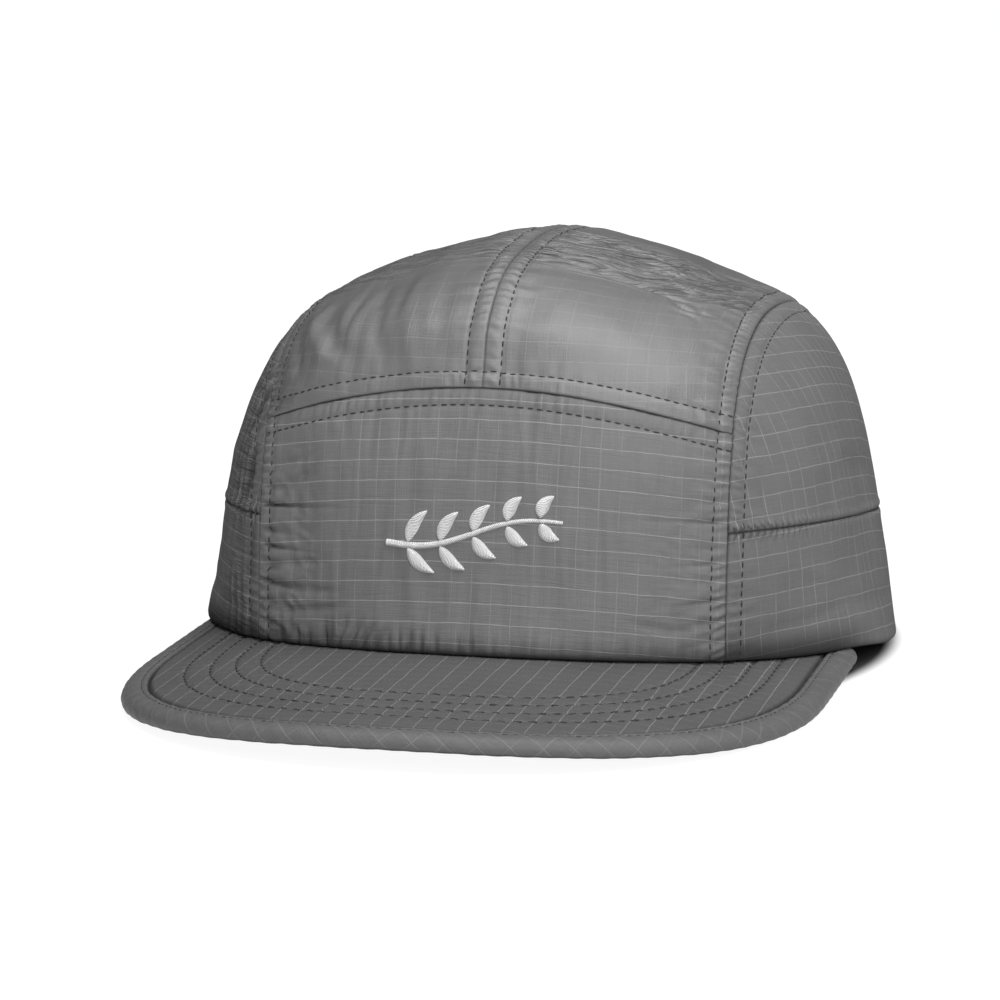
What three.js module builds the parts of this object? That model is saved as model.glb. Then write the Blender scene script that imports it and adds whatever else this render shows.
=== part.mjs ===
// Five panel cap in thin ripstop, standing on its rim.
// Millimetres, +Z up, front of the cap towards -Y. The cap is the same on both sides of X = 0.
import * as THREE from 'three';

// Crown: the widest line runs across the head at Y = 0 of the crown's own frame
const crownHeight = 102.5;
const crownHalfWidth = 87.5;
const frontDepth = 86.1;
const backDepth = 106.2;
const clothWall = 1.6;
const seamGap = 0.3;

// Panel seams
const seamHalfWidth = 57;
const frontSeamMiddleHeight = 72;
const frontSeamCornerHeight = 61;
const crossSeamFrontHeight = 38.5;
const crossSeamBackHeight = 28;
const patchCornerHeight = 58;

// Brim and its binding, in plan and in section
const brimHalfWidth = 82.5;
const brimLength = 70;
const brimStraightSide = 42;
const brimSquareness = 2.3;
const brimThickness = 4.2;
const brimArch = 7;
const brimPitch = 0.025;
const brimTuck = 5;
const bindingWidth = 6;
const bindingWall = 1;
const bindingSlotDepth = 3.5;

// Rim: it stands on the brim in front and comes down to the floor behind
const rimLandingLength = 50;

// Opening at the back, with its strap and clasp
const backOpeningHalfWidth = 36;
const backOpeningHeight = 26;
const backOpeningSquareness = 2.4;
const strapWidth = 18;
const strapThickness = 1.6;
const strapHalfLength = 52;
const strapLift = 3;
const strapClearance = 0.7;
const claspLength = 26;
const claspWall = 1.5;

// Soft folds that the cloth holds
const foldDepth = 2.2;
const foldReach = 30;

// Colours and gloss of the cloth, the webbing and the clasp
const clothColor = 0x6b6b6b;
const clothRoughness = 0.55;
const brimColor = 0x646464;
const webbingColor = 0x3c3c3c;
const webbingRoughness = 0.8;
const claspColor = 0x262626;
const claspRoughness = 0.5;

// Steps of the panels' grids
const acrossSteps = 20;
const frontRiseSteps = 10;
const topSteps = 26;
const sideSteps = 24;
const sideRiseSteps = 6;
const brimSteps = 48;
const brimDepthSteps = 4;
const bindingArcSteps = 4;
const strapSteps = 20;
const claspSteps = 6;

// Rounds of halving, and of settling a height that depends on itself a little
const bisectRounds = 36;
const settleRounds = 4;

// One row for each level section of the crown, from the floor to the top. Height, side, front
// and back are shares of the crown's height, half width, front depth and back depth; a
// squareness of 2 is an ellipse and more is boxier.
const sections = [
  { height: 0.000, side: 1.000, front: 1.000, back: 1.000, squareness: 1.90 },
  { height: 0.116, side: 0.973, front: 0.961, back: 0.995, squareness: 2.05 },
  { height: 0.252, side: 0.935, front: 0.921, back: 0.982, squareness: 2.30 },
  { height: 0.407, side: 0.891, front: 0.889, back: 0.951, squareness: 2.50 },
  { height: 0.542, side: 0.850, front: 0.858, back: 0.906, squareness: 2.65 },
  { height: 0.658, side: 0.803, front: 0.819, back: 0.847, squareness: 2.65 },
  { height: 0.755, side: 0.739, front: 0.778, back: 0.775, squareness: 2.50 },
  { height: 0.833, side: 0.645, front: 0.741, back: 0.689, squareness: 2.20 },
  { height: 0.895, side: 0.490, front: 0.659, back: 0.595, squareness: 1.95 },
  { height: 0.939, side: 0.335, front: 0.566, back: 0.487, squareness: 1.85 },
  { height: 0.971, side: 0.200, front: 0.420, back: 0.351, squareness: 1.85 },
  { height: 0.992, side: 0.100, front: 0.210, back: 0.180, squareness: 1.85 },
  { height: 1.000, side: 0.000, front: 0.000, back: 0.000, squareness: 1.85 },
];

// One row for each soft fold. Its middle is given as shares of the crown's half width, of the
// front or back depth and of the height. Its reach along X, Y and Z is in shares of foldReach,
// and its depth in shares of foldDepth, minus for a hollow and plus for a ridge.
const folds = [
  { x: 0.46, y: -0.62, z: 0.84, reachX: 0.50, reachY: 0.50, reachZ: 0.35, depth: -0.50 },
  { x: 0.30, y: -0.25, z: 0.98, reachX: 0.45, reachY: 0.70, reachZ: 0.50, depth: 0.45 },
  { x: 0.52, y: 0.05, z: 0.90, reachX: 0.30, reachY: 0.90, reachZ: 0.40, depth: -0.55 },
  { x: -0.40, y: -0.60, z: 0.86, reachX: 0.28, reachY: 0.60, reachZ: 0.60, depth: -0.50 },
  { x: -0.18, y: -0.50, z: 0.93, reachX: 0.22, reachY: 0.80, reachZ: 0.60, depth: 0.35 },
  { x: -0.45, y: 0.10, z: 0.92, reachX: 0.40, reachY: 0.80, reachZ: 0.40, depth: -0.45 },
  { x: -0.52, y: -0.90, z: 0.34, reachX: 0.22, reachY: 0.80, reachZ: 0.80, depth: -0.40 },
  { x: 0.88, y: -0.35, z: 0.20, reachX: 0.80, reachY: 0.90, reachZ: 0.45, depth: -0.45 },
  { x: -0.88, y: -0.35, z: 0.20, reachX: 0.80, reachY: 0.90, reachZ: 0.45, depth: -0.45 },
  { x: -0.84, y: -0.10, z: 0.64, reachX: 0.80, reachY: 1.40, reachZ: 1.00, depth: -0.75 },
  { x: 0.88, y: 0.12, z: 0.56, reachX: 0.80, reachY: 1.40, reachZ: 1.00, depth: 0.65 },
  { x: 0.30, y: 0.80, z: 0.62, reachX: 0.90, reachY: 0.80, reachZ: 0.28, depth: -0.50 },
  { x: -0.25, y: 0.86, z: 0.50, reachX: 0.80, reachY: 0.80, reachZ: 0.25, depth: -0.45 },
];

const mix = (a, b, share) => a + (b - a) * share;
const ease = (share) => {
  const s = THREE.MathUtils.clamp(share, 0, 1);
  return s * s * (3 - 2 * s);
};

// Catmull-Rom value of one column of the section table at a place between its rows
function column(name, place) {
  const last = sections.length - 1;
  const row = Math.min(Math.floor(place), last - 1);
  const share = place - row;
  const overTop = name === 'height' || name === 'squareness' ? 1 : -1;
  const at = (i) => {
    if (i < 0) return 2 * sections[0][name] - sections[1][name];
    if (i > last) return overTop * sections[last - 1][name];
    return sections[i][name];
  };
  const [p0, p1, p2, p3] = [at(row - 1), at(row), at(row + 1), at(row + 2)];
  const linear = (p2 - p0) * share;
  const square = (2 * p0 - 5 * p1 + 4 * p2 - p3) * share ** 2;
  const cube = (3 * p1 - p0 - 3 * p2 + p3) * share ** 3;
  return p1 + (linear + square + cube) / 2;
}

// Halves an interval until the test flips within it, and returns where it flips
function bisect(low, high, isLow) {
  for (let i = 0; i < bisectRounds; i += 1) {
    const middle = (low + high) / 2;
    if (isLow(middle)) low = middle;
    else high = middle;
  }
  return (low + high) / 2;
}

// The level section of the crown at a height: half width, depths and squareness
function sectionAt(z) {
  const share = z / crownHeight;
  const place = bisect(0, sections.length - 1, (p) => column('height', p) < share);
  return {
    side: crownHalfWidth * column('side', place),
    front: frontDepth * column('front', place),
    back: backDepth * column('back', place),
    squareness: column('squareness', place),
  };
}

// Share of a half axis that a superellipse leaves at a share of its other half axis
function remainder(share, squareness) {
  return Math.max(0, 1 - Math.abs(share) ** squareness) ** (1 / squareness);
}

// Y of the smooth crown at an X and a height, in front or behind
function crownY(x, z, isFront) {
  const section = sectionAt(z);
  const reach = remainder(x / section.side, section.squareness);
  return isFront ? -section.front * reach : section.back * reach;
}

// X of the smooth crown's right side at a Y and a height
function crownX(y, z) {
  const section = sectionAt(z);
  return section.side * remainder(y / (y < 0 ? section.front : section.back), section.squareness);
}

function isInside(x, y, z) {
  if (z >= crownHeight) return false;
  const section = sectionAt(z);
  const depth = y < 0 ? section.front : section.back;
  const n = section.squareness;
  return (Math.abs(x) / section.side) ** n + (Math.abs(y) / depth) ** n < 1;
}

// Point of the smooth crown at an X, on a ray that leaves a line across the crown's middle at
// an angle from -Y
const rayHeight = crownHeight * 0.3;
function crownOnRay(x, angle) {
  const out = (r) => new THREE.Vector3(x, -r * Math.cos(angle), rayHeight + r * Math.sin(angle));
  const radius = bisect(0, backDepth + crownHeight, (r) => isInside(...out(r).toArray()));
  return out(radius);
}

// Outward normals, from small steps over the surface
const normalStep = 0.5;
function topNormal(x, angle) {
  const turn = normalStep / crownHeight;
  const across = crownOnRay(x + normalStep, angle).sub(crownOnRay(x - normalStep, angle));
  const along = crownOnRay(x, angle + turn).sub(crownOnRay(x, angle - turn));
  return across.cross(along).normalize();
}
function sideNormal(y, z) {
  const at = (v, w) => new THREE.Vector3(crownX(v, w), v, w);
  const along = at(y + normalStep, z).sub(at(y - normalStep, z));
  const low = Math.max(0, z - normalStep);
  const rise = at(y, z + normalStep).sub(at(y, low));
  return along.cross(rise).normalize();
}

// How far the folds lift a point of the crown out of the smooth surface
function foldLift(point) {
  let lift = 0;
  for (const fold of folds) {
    const depth = fold.y < 0 ? frontDepth : backDepth;
    const dx = (point.x - fold.x * crownHalfWidth) / (fold.reachX * foldReach);
    const dy = (point.y - fold.y * depth) / (fold.reachY * foldReach);
    const dz = (point.z - fold.z * crownHeight) / (fold.reachZ * foldReach);
    lift += fold.depth * foldDepth * Math.exp(-(dx * dx + dy * dy + dz * dz));
  }
  return lift;
}

// Brim in plan: straight sides, then a superellipse round the front. A run of 0 is the right
// end, 1 the left end, and the outline can be drawn in from the edge by an inset. The ends lie
// where the brim's edge passes under the crown's wall.
const brimFrontY = -(frontDepth + brimLength);
const brimEndY = crownY(brimHalfWidth, brimThickness, true);
const brimCornerY = brimEndY - brimStraightSide;
function brimOutline(run, inset) {
  const across = brimHalfWidth - inset;
  const reach = brimCornerY - brimFrontY - inset;
  const arc = (Math.PI / 2) * Math.hypot(across, reach) / Math.SQRT2;
  const travel = Math.min(run, 1 - run) * 2 * (brimStraightSide + arc);
  const side = run < 0.5 ? 1 : -1;
  if (travel < brimStraightSide) return new THREE.Vector2(side * across, brimEndY - travel);
  const turn = (travel - brimStraightSide) / arc * Math.PI / 2;
  const power = 2 / brimSquareness;
  return new THREE.Vector2(
    side * across * Math.max(0, Math.cos(turn)) ** power,
    brimCornerY - reach * Math.sin(turn) ** power,
  );
}

// Height of the brim's top: arched across, pitched a little down to the front, and lifted so
// that the lowest stretch of its edge just stands on the floor
const brimForm = (x, y) => brimArch * (1 - (x / brimHalfWidth) ** 2) + brimPitch * (y - brimCornerY);
function brimLift() {
  let lowest = Infinity;
  for (let i = 0; i <= brimSteps; i += 1) {
    const edge = brimOutline(i / brimSteps, brimThickness / 2);
    lowest = Math.min(lowest, brimForm(edge.x, edge.y));
  }
  return brimThickness - lowest;
}
const brimBase = brimLift();
const brimTop = (x, y) => brimForm(x, y) + brimBase;

// Height of the crown's lower edge: on the brim in front, easing down to the floor behind it
function rimHeight(x, y) {
  const onBrim = brimTop(x, Math.min(y, brimEndY)) + seamGap;
  return onBrim * (1 - ease((y - brimEndY) / rimLandingLength));
}
function rimHeightFront(x) {
  let z = brimBase;
  for (let i = 0; i < settleRounds; i += 1) z = rimHeight(x, crownY(x, z, true));
  return z;
}

// Level of the arched opening in the lower edge behind
function backEdgeHeight(x) {
  const share = Math.min(1, Math.abs(x) / backOpeningHalfWidth);
  return backOpeningHeight * remainder(share, backOpeningSquareness);
}

function meshFrom(points, faces) {
  const geometry = new THREE.BufferGeometry();
  const numbers = points.flatMap((point) => point.toArray());
  geometry.setAttribute('position', new THREE.Float32BufferAttribute(numbers, 3));
  geometry.setIndex(faces);
  return geometry;
}

// Closed solid between two grids of points, the outer one and the inner one
function gridSolid(outer, inner, columns, rows) {
  const at = (i, j) => j * (columns + 1) + i;
  const offset = outer.length;
  const faces = [];
  const quad = (a, b, c, d) => faces.push(a, b, c, a, c, d);
  for (let j = 0; j < rows; j += 1) {
    for (let i = 0; i < columns; i += 1) {
      const [a, b, c, d] = [at(i, j), at(i + 1, j), at(i + 1, j + 1), at(i, j + 1)];
      quad(a, b, c, d);
      quad(offset + d, offset + c, offset + b, offset + a);
    }
  }
  const edge = (a, b) => quad(b, a, offset + a, offset + b);
  for (let i = 0; i < columns; i += 1) {
    edge(at(i, 0), at(i + 1, 0));
    edge(at(i + 1, rows), at(i, rows));
  }
  for (let j = 0; j < rows; j += 1) {
    edge(at(columns, j), at(columns, j + 1));
    edge(at(0, j + 1), at(0, j));
  }
  return meshFrom([...outer, ...inner], faces);
}

// Closed band of cloth that follows the crown from a depth under its surface, with a
// thickness. place(u, v) gives a point of the surface and its normal. A level edge keeps its
// height through the wall, so that it can stand on the brim or the floor.
function clothBand(columns, rows, place, { depth = 0, thickness = clothWall, level = '' } = {}) {
  const outer = [];
  const inner = [];
  for (let j = 0; j <= rows; j += 1) {
    for (let i = 0; i <= columns; i += 1) {
      const { point, normal } = place(i / columns, j / rows);
      const face = point.clone().addScaledVector(normal, foldLift(point) - depth);
      const back = face.clone().addScaledVector(normal, -thickness);
      if ((level === 'start' && j === 0) || (level === 'end' && j === rows)) {
        face.z = point.z;
        back.z = point.z;
      }
      outer.push(face);
      inner.push(back);
    }
  }
  return gridSolid(outer, inner, columns, rows);
}

// The same panel on the other side of the cap
function mirrored(place) {
  return (u, v) => {
    const { point, normal } = place(1 - u, v);
    const flip = new THREE.Vector3(-1, 1, 1);
    return { point: point.multiply(flip), normal: normal.multiply(flip) };
  };
}

// Angle of a point of the crown on the rays that leave the widest line, from the front edge
// over the top to the back edge
function angleOf(y, z) {
  const angle = Math.atan2(z - rayHeight, -y);
  return angle < -Math.PI / 2 ? angle + 2 * Math.PI : angle;
}

// Seam between the front panel and the top panels: an arc that is highest in the middle
function frontSeamHeight(x) {
  return mix(frontSeamMiddleHeight, frontSeamCornerHeight, (x / seamHalfWidth) ** 2);
}

// Front panel, from the brim up to the top panels
function frontPanel(u, v) {
  const x = (seamHalfWidth - seamGap / 2) * (2 * u - 1);
  const z = mix(rimHeightFront(x), frontSeamHeight(x) - seamGap / 2, v);
  const y = crownY(x, z, true);
  return { point: new THREE.Vector3(x, y, z), normal: topNormal(x, angleOf(y, z)) };
}

// Right top panel, from the front seam over the crown to the lower edge behind
function topPanelRight(u, v) {
  const x = mix(seamGap / 2, seamHalfWidth - seamGap / 2, u);
  const startZ = frontSeamHeight(x) + seamGap / 2;
  const endZ = backEdgeHeight(x);
  const start = angleOf(crownY(x, startZ, true), startZ);
  const end = angleOf(crownY(x, endZ, false), endZ);
  const angle = mix(start, end, v);
  const point = crownOnRay(x, angle);
  if (v === 1) point.z = endZ;
  return { point, normal: topNormal(x, angle) };
}

// The side panel's edge beside the long seam, as Y and height
const seamX = seamHalfWidth + seamGap / 2;
function seamArch(share) {
  const start = angleOf(crownY(seamX, patchCornerHeight, true), patchCornerHeight);
  const end = angleOf(crownY(seamX, patchCornerHeight, false), patchCornerHeight);
  const point = crownOnRay(seamX, mix(start, end, share));
  return new THREE.Vector2(point.y, point.z);
}
function seamStretch(lowZ, highZ, isFront) {
  return (share) => {
    const z = mix(lowZ, highZ, share);
    return new THREE.Vector2(crownY(seamX, z, isFront), z);
  };
}

// The cross seam falls gently from the front seam to the one behind. A lip is one side of it.
function crossSeam(lip) {
  const frontY = crownY(seamX, crossSeamFrontHeight + lip, true);
  const backY = crownY(seamX, crossSeamBackHeight + lip, false);
  return (share) => new THREE.Vector2(
    mix(frontY, backY, share),
    mix(crossSeamFrontHeight, crossSeamBackHeight, ease(share)) + lip,
  );
}

// The rim under the side panel, at a share of the way from the front seam to the back seam
function sideRim(share) {
  const frontY = crownY(seamX, rimHeightFront(seamX), true);
  const y = mix(frontY, crownY(seamX, 0, false), share);
  let z = 0;
  for (let i = 0; i < settleRounds; i += 1) z = rimHeight(crownX(y, z), y);
  return new THREE.Vector2(y, z);
}

// A four sided patch of the side, filled between its edges in Y and height and laid on the
// crown
function sidePatch(bottom, top, front, back) {
  return (u, v) => {
    const corners = bottom(0).multiplyScalar((1 - u) * (1 - v))
      .addScaledVector(bottom(1), u * (1 - v))
      .addScaledVector(top(0), (1 - u) * v)
      .addScaledVector(top(1), u * v);
    const flat = bottom(u).multiplyScalar(1 - v)
      .addScaledVector(top(u), v)
      .addScaledVector(front(v), 1 - u)
      .addScaledVector(back(v), u)
      .sub(corners);
    const point = new THREE.Vector3(crownX(flat.x, flat.y), flat.x, flat.y);
    return { point, normal: sideNormal(flat.x, flat.y) };
  };
}

function sideLowerPatch() {
  const lip = -seamGap / 2;
  return sidePatch(
    sideRim,
    crossSeam(lip),
    seamStretch(sideRim(0).y, crossSeamFrontHeight + lip, true),
    seamStretch(sideRim(1).y, crossSeamBackHeight + lip, false),
  );
}

function sideUpperPatch() {
  const lip = seamGap / 2;
  return sidePatch(
    crossSeam(lip),
    seamArch,
    seamStretch(crossSeamFrontHeight + lip, patchCornerHeight, true),
    seamStretch(crossSeamBackHeight + lip, patchCornerHeight, false),
  );
}

// Inner edge of the brim, tucked under the crown's wall
function brimInnerEdge(run) {
  const turn = Math.PI * run;
  const x = crownX(brimEndY, brimThickness) * Math.cos(turn);
  const y = crownY(x, rimHeightFront(x), true);
  const inward = new THREE.Vector2(-x, -y).setLength(brimTuck);
  return new THREE.Vector2(x, y).add(inward);
}

// Brim: a crescent under cloth, with a thin tongue round its outer edge inside the binding
function brimGeometry() {
  const groove = bindingWidth + seamGap;
  const tongue = brimThickness / 2 - bindingWall - seamGap;
  const upper = [];
  const lower = [];
  const addRow = (edge, halfThickness) => {
    for (let i = 0; i <= brimSteps; i += 1) {
      const plan = edge(i / brimSteps);
      const middle = brimTop(plan.x, plan.y) - brimThickness / 2;
      upper.push(new THREE.Vector3(plan.x, plan.y, middle + halfThickness));
      lower.push(new THREE.Vector3(plan.x, plan.y, middle - halfThickness));
    }
  };
  for (let j = 0; j <= brimDepthSteps; j += 1) {
    const share = j / brimDepthSteps;
    addRow((run) => brimInnerEdge(run).lerp(brimOutline(run, groove), share), brimThickness / 2);
  }
  addRow((run) => brimOutline(run, groove - seamGap), tongue);
  addRow((run) => brimOutline(run, bindingSlotDepth), tongue);
  return gridSolid(upper, lower, brimSteps, brimDepthSteps + 2);
}

// Closed solid from equal rings of points along a sweep, with the section's own faces at its
// ends
function sweptSolid(rings, section) {
  const count = rings[0].length;
  const faces = [];
  const quad = (a, b, c, d) => faces.push(a, b, c, a, c, d);
  for (let i = 0; i + 1 < rings.length; i += 1) {
    for (let k = 0; k < count; k += 1) {
      const next = (k + 1) % count;
      quad(i * count + k, i * count + next, (i + 1) * count + next, (i + 1) * count + k);
    }
  }
  const ends = THREE.ShapeUtils.triangulateShape(section, []);
  const last = (rings.length - 1) * count;
  for (const [a, b, c] of ends) faces.push(c, b, a, last + a, last + b, last + c);
  return meshFrom(rings.flat(), faces);
}

// Section of the binding, folded round the brim's edge: inset from the edge, and height over
// the middle of the brim
function bindingSection() {
  const half = brimThickness / 2;
  const slot = half - bindingWall;
  const points = [new THREE.Vector2(bindingWidth, -half)];
  points.push(new THREE.Vector2(bindingWidth, -slot));
  points.push(new THREE.Vector2(bindingSlotDepth - seamGap, -slot));
  points.push(new THREE.Vector2(bindingSlotDepth - seamGap, slot));
  points.push(new THREE.Vector2(bindingWidth, slot));
  points.push(new THREE.Vector2(bindingWidth, half));
  for (let i = 0; i <= bindingArcSteps; i += 1) {
    const turn = Math.PI * i / bindingArcSteps;
    points.push(new THREE.Vector2(half * (1 - Math.sin(turn)), half * Math.cos(turn)));
  }
  return points;
}

function bindingGeometry() {
  const section = bindingSection();
  const rings = [];
  for (let i = 0; i <= brimSteps; i += 1) {
    rings.push(section.map((point) => {
      const plan = brimOutline(1 - i / brimSteps, point.x);
      const middle = brimTop(plan.x, plan.y) - brimThickness / 2;
      return new THREE.Vector3(plan.x, plan.y, middle + point.y);
    }));
  }
  return sweptSolid(rings, section);
}

// Place on the crown's back, across by u and down by v, over a length and a width
function backPlace(halfLength, topZ, bottomZ) {
  return (u, v) => {
    const x = halfLength * (2 * u - 1);
    const z = mix(topZ, bottomZ, v);
    const y = crownY(x, z, false);
    return { point: new THREE.Vector3(x, y, z), normal: topNormal(x, angleOf(y, z)) };
  };
}

const strapDepth = clothWall + strapClearance;
const strapTop = strapLift + strapWidth;

// Clasp: a plain sleeve round the strap, with one slot that the strap runs through
function claspGeometry() {
  const place = backPlace(claspLength / 2, strapTop, strapLift);
  const slotDepths = [strapDepth - seamGap, strapDepth + strapThickness + seamGap];
  const loops = [];
  for (const margin of [claspWall, 0]) {
    const depths = [slotDepths[0] - margin, slotDepths[1] + margin];
    const rise = seamGap + margin;
    loops.push([[depths[0], 0, rise], [depths[1], 0, rise], [depths[1], 1, -rise], [depths[0], 1, -rise]]);
  }
  const points = [];
  for (let i = 0; i <= claspSteps; i += 1) {
    for (const [depth, v, rise] of loops.flat()) {
      const { point, normal } = place(i / claspSteps, v);
      points.push(point.addScaledVector(normal, -depth).add(new THREE.Vector3(0, 0, rise)));
    }
  }
  const faces = [];
  const quad = (a, b, c, d) => faces.push(a, b, c, a, c, d);
  const sides = 4;
  for (let k = 0; k < sides; k += 1) {
    const next = (k + 1) % sides;
    for (let i = 0; i < claspSteps; i += 1) {
      const here = i * 2 * sides;
      const there = here + 2 * sides;
      quad(here + k, here + next, there + next, there + k);
      quad(there + sides + k, there + sides + next, here + sides + next, here + sides + k);
    }
    const last = claspSteps * 2 * sides;
    quad(sides + k, sides + next, next, k);
    quad(last + k, last + next, last + sides + next, last + sides + k);
  }
  return meshFrom(points, faces);
}

const cap = new THREE.Group();
function add(name, geometry, color, roughness) {
  const material = new THREE.MeshStandardMaterial({ color, roughness, metalness: 0 });
  const mesh = new THREE.Mesh(geometry, material);
  mesh.name = name;
  cap.add(mesh);
}

const onBrim = { level: 'start' };
const topSideSteps = acrossSteps / 2;
const sideUpper = sideUpperPatch();
const sideLower = sideLowerPatch();
const panels = [
  ['front_panel', frontPanel, acrossSteps, frontRiseSteps, onBrim],
  ['top_panel_right', topPanelRight, topSideSteps, topSteps, { level: 'end' }],
  ['top_panel_left', mirrored(topPanelRight), topSideSteps, topSteps, { level: 'end' }],
  ['side_upper_right', sideUpper, sideSteps, sideRiseSteps, {}],
  ['side_upper_left', mirrored(sideUpper), sideSteps, sideRiseSteps, {}],
  ['side_lower_right', sideLower, sideSteps, sideRiseSteps, onBrim],
  ['side_lower_left', mirrored(sideLower), sideSteps, sideRiseSteps, onBrim],
];
for (const [name, place, columns, rows, options] of panels) {
  add(name, clothBand(columns, rows, place, options), clothColor, clothRoughness);
}
add('brim', brimGeometry(), brimColor, clothRoughness);
add('brim_binding', bindingGeometry(), brimColor, clothRoughness);

const strapPlace = backPlace(strapHalfLength, strapTop, strapLift);
const strapForm = { depth: strapDepth, thickness: strapThickness };
add('back_strap', clothBand(strapSteps, 1, strapPlace, strapForm), webbingColor, webbingRoughness);
add('strap_clasp', claspGeometry(), claspColor, claspRoughness);

// The cap stands with the middle of its box over the origin
const box = new THREE.Box3().setFromObject(cap);
cap.position.y = -(box.min.y + box.max.y) / 2;

export default cap;
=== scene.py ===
# %% [markdown]
# # Five panel cap in grey ripstop
# The real cap is sewn from thin ripstop, a nylon cloth with a stronger thread every few
# millimetres. Seven cut pieces make the crown, and a stiff brim under the same cloth carries
# four rows of stitching and a binding cut on the bias.
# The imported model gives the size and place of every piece. Everything below is worked out
# in millimetres on the same curved form, and turned into metres when a mesh is made.

# %% Load the model that fixes the sizes
import math

import bmesh
import bpy
import numpy as np
from mathutils import Matrix, Vector, noise
from mathutils.bvhtree import BVHTree


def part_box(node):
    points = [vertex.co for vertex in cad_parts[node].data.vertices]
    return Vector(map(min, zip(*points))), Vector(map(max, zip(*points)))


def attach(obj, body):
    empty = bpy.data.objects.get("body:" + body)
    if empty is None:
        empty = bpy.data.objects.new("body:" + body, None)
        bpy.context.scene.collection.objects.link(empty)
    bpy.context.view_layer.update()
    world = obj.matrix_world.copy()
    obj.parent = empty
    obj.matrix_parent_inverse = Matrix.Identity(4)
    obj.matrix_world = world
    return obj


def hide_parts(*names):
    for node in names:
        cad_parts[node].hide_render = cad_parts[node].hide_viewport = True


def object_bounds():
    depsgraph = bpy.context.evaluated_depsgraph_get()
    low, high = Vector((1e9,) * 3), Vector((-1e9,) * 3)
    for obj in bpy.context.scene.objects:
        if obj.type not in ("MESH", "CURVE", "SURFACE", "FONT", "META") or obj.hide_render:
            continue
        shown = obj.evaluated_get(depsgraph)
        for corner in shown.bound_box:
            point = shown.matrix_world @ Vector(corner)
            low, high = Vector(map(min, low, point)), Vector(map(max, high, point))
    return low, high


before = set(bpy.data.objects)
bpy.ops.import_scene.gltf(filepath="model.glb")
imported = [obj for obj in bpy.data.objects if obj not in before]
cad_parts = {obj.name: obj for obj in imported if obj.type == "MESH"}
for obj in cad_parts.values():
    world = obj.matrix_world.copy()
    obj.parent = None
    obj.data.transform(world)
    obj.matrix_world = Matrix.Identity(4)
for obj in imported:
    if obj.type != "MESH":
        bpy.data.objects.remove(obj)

MILLIMETRE = 0.001
cad_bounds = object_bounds()
cad_size = (cad_bounds[1] - cad_bounds[0]) / MILLIMETRE
print("model size in mm:", [round(side, 1) for side in cad_size])

# %% [markdown]
# ## Sizes of the cap
# The crown is described in its own frame, with its widest line at Y = 0 and the front towards
# -Y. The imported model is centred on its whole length, so the brim's front edge tells how far
# the two frames lie apart.

# %% Sizes of the crown, its seams and the brim
crown_height = 102.5
crown_half_width = 87.5
front_depth = 86.1
back_depth = 106.2

seam_half_width = 57.0
seam_gap = -0.1
front_seam_middle = 72.0
front_seam_corner = 61.0
cross_seam_front = 38.5
cross_seam_back = 28.0
patch_corner = 58.0

brim_half_width = 82.5
brim_length = 70.0
brim_straight_side = 42.0
brim_squareness = 2.3
brim_thickness = 4.2
brim_arch = 7.0
brim_pitch = 0.025
brim_tuck = 5.0
brim_end_tuck = 10.0
binding_width = 6.0

rim_landing = 50.0
back_opening_half_width = 36.0
back_opening_height = 26.0
back_opening_squareness = 2.4

frame_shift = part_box("brim_binding")[0].y / MILLIMETRE + front_depth + brim_length
print("crown frame to model frame, mm along Y:", round(frame_shift, 2))

# %% [markdown]
# ## The form of the crown
# A hat block could be sculpted by hand, but a table of level sections keeps it exact and
# symmetrical. Each row is one level cut: how far it reaches to the side, front and back, as
# shares of the full size, and how boxy it is (2 is an ellipse). The columns are joined by
# smooth curves, and sampled finely once, so that numpy can look up any height quickly.

# %% Table of level sections, and its smooth columns
section_names = ("height", "side", "front", "back", "squareness")
sections = np.array([
    (0.000, 1.000, 1.000, 1.000, 1.90),
    (0.116, 0.973, 0.961, 0.995, 2.05),
    (0.252, 0.935, 0.921, 0.982, 2.30),
    (0.407, 0.891, 0.889, 0.951, 2.50),
    (0.542, 0.850, 0.858, 0.906, 2.65),
    (0.658, 0.803, 0.819, 0.847, 2.65),
    (0.755, 0.739, 0.778, 0.775, 2.50),
    (0.833, 0.645, 0.741, 0.689, 2.20),
    (0.895, 0.490, 0.659, 0.595, 1.95),
    (0.939, 0.335, 0.566, 0.487, 1.85),
    (0.971, 0.200, 0.420, 0.351, 1.85),
    (0.992, 0.100, 0.210, 0.180, 1.85),
    (1.000, 0.000, 0.000, 0.000, 1.85),
])
samples_per_row = 500


def smooth_column(name):
    """One column of the table as a Catmull-Rom curve from the floor to the top."""
    values = sections[:, section_names.index(name)]
    over_top = 1 if name in ("height", "squareness") else -1
    ends = np.concatenate(([2 * values[0] - values[1]], values, [over_top * values[-2]]))
    last = len(values) - 1
    place = np.linspace(0, last, last * samples_per_row + 1)
    row = np.minimum(place.astype(int), last - 1)
    share = place - row
    p0, p1, p2, p3 = (ends[row + step] for step in range(4))
    curve = (p2 - p0) * share
    curve += (2 * p0 - 5 * p1 + 4 * p2 - p3) * share**2
    curve += (3 * p1 - p0 - 3 * p2 + p3) * share**3
    return p1 + curve / 2


columns = {name: smooth_column(name) for name in section_names}


def level_section(z):
    """Half width, front depth, back depth and squareness of the crown at a height."""
    share = np.asarray(z, float) / crown_height
    scales = {"side": crown_half_width, "front": front_depth, "back": back_depth, "squareness": 1}
    return [np.interp(share, columns["height"], columns[name]) * size for name, size in scales.items()]


print("half width at mid height, mm:", round(float(level_section(crown_height / 2)[0]), 1))

# %% [markdown]
# ## Points on the crown
# A panel of the front is easiest to place by its width and height, a side panel by its depth
# and height, and a top panel by rays that swing over the head from a line across its middle.
# These three ways of finding a point all land on the same form.

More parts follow.
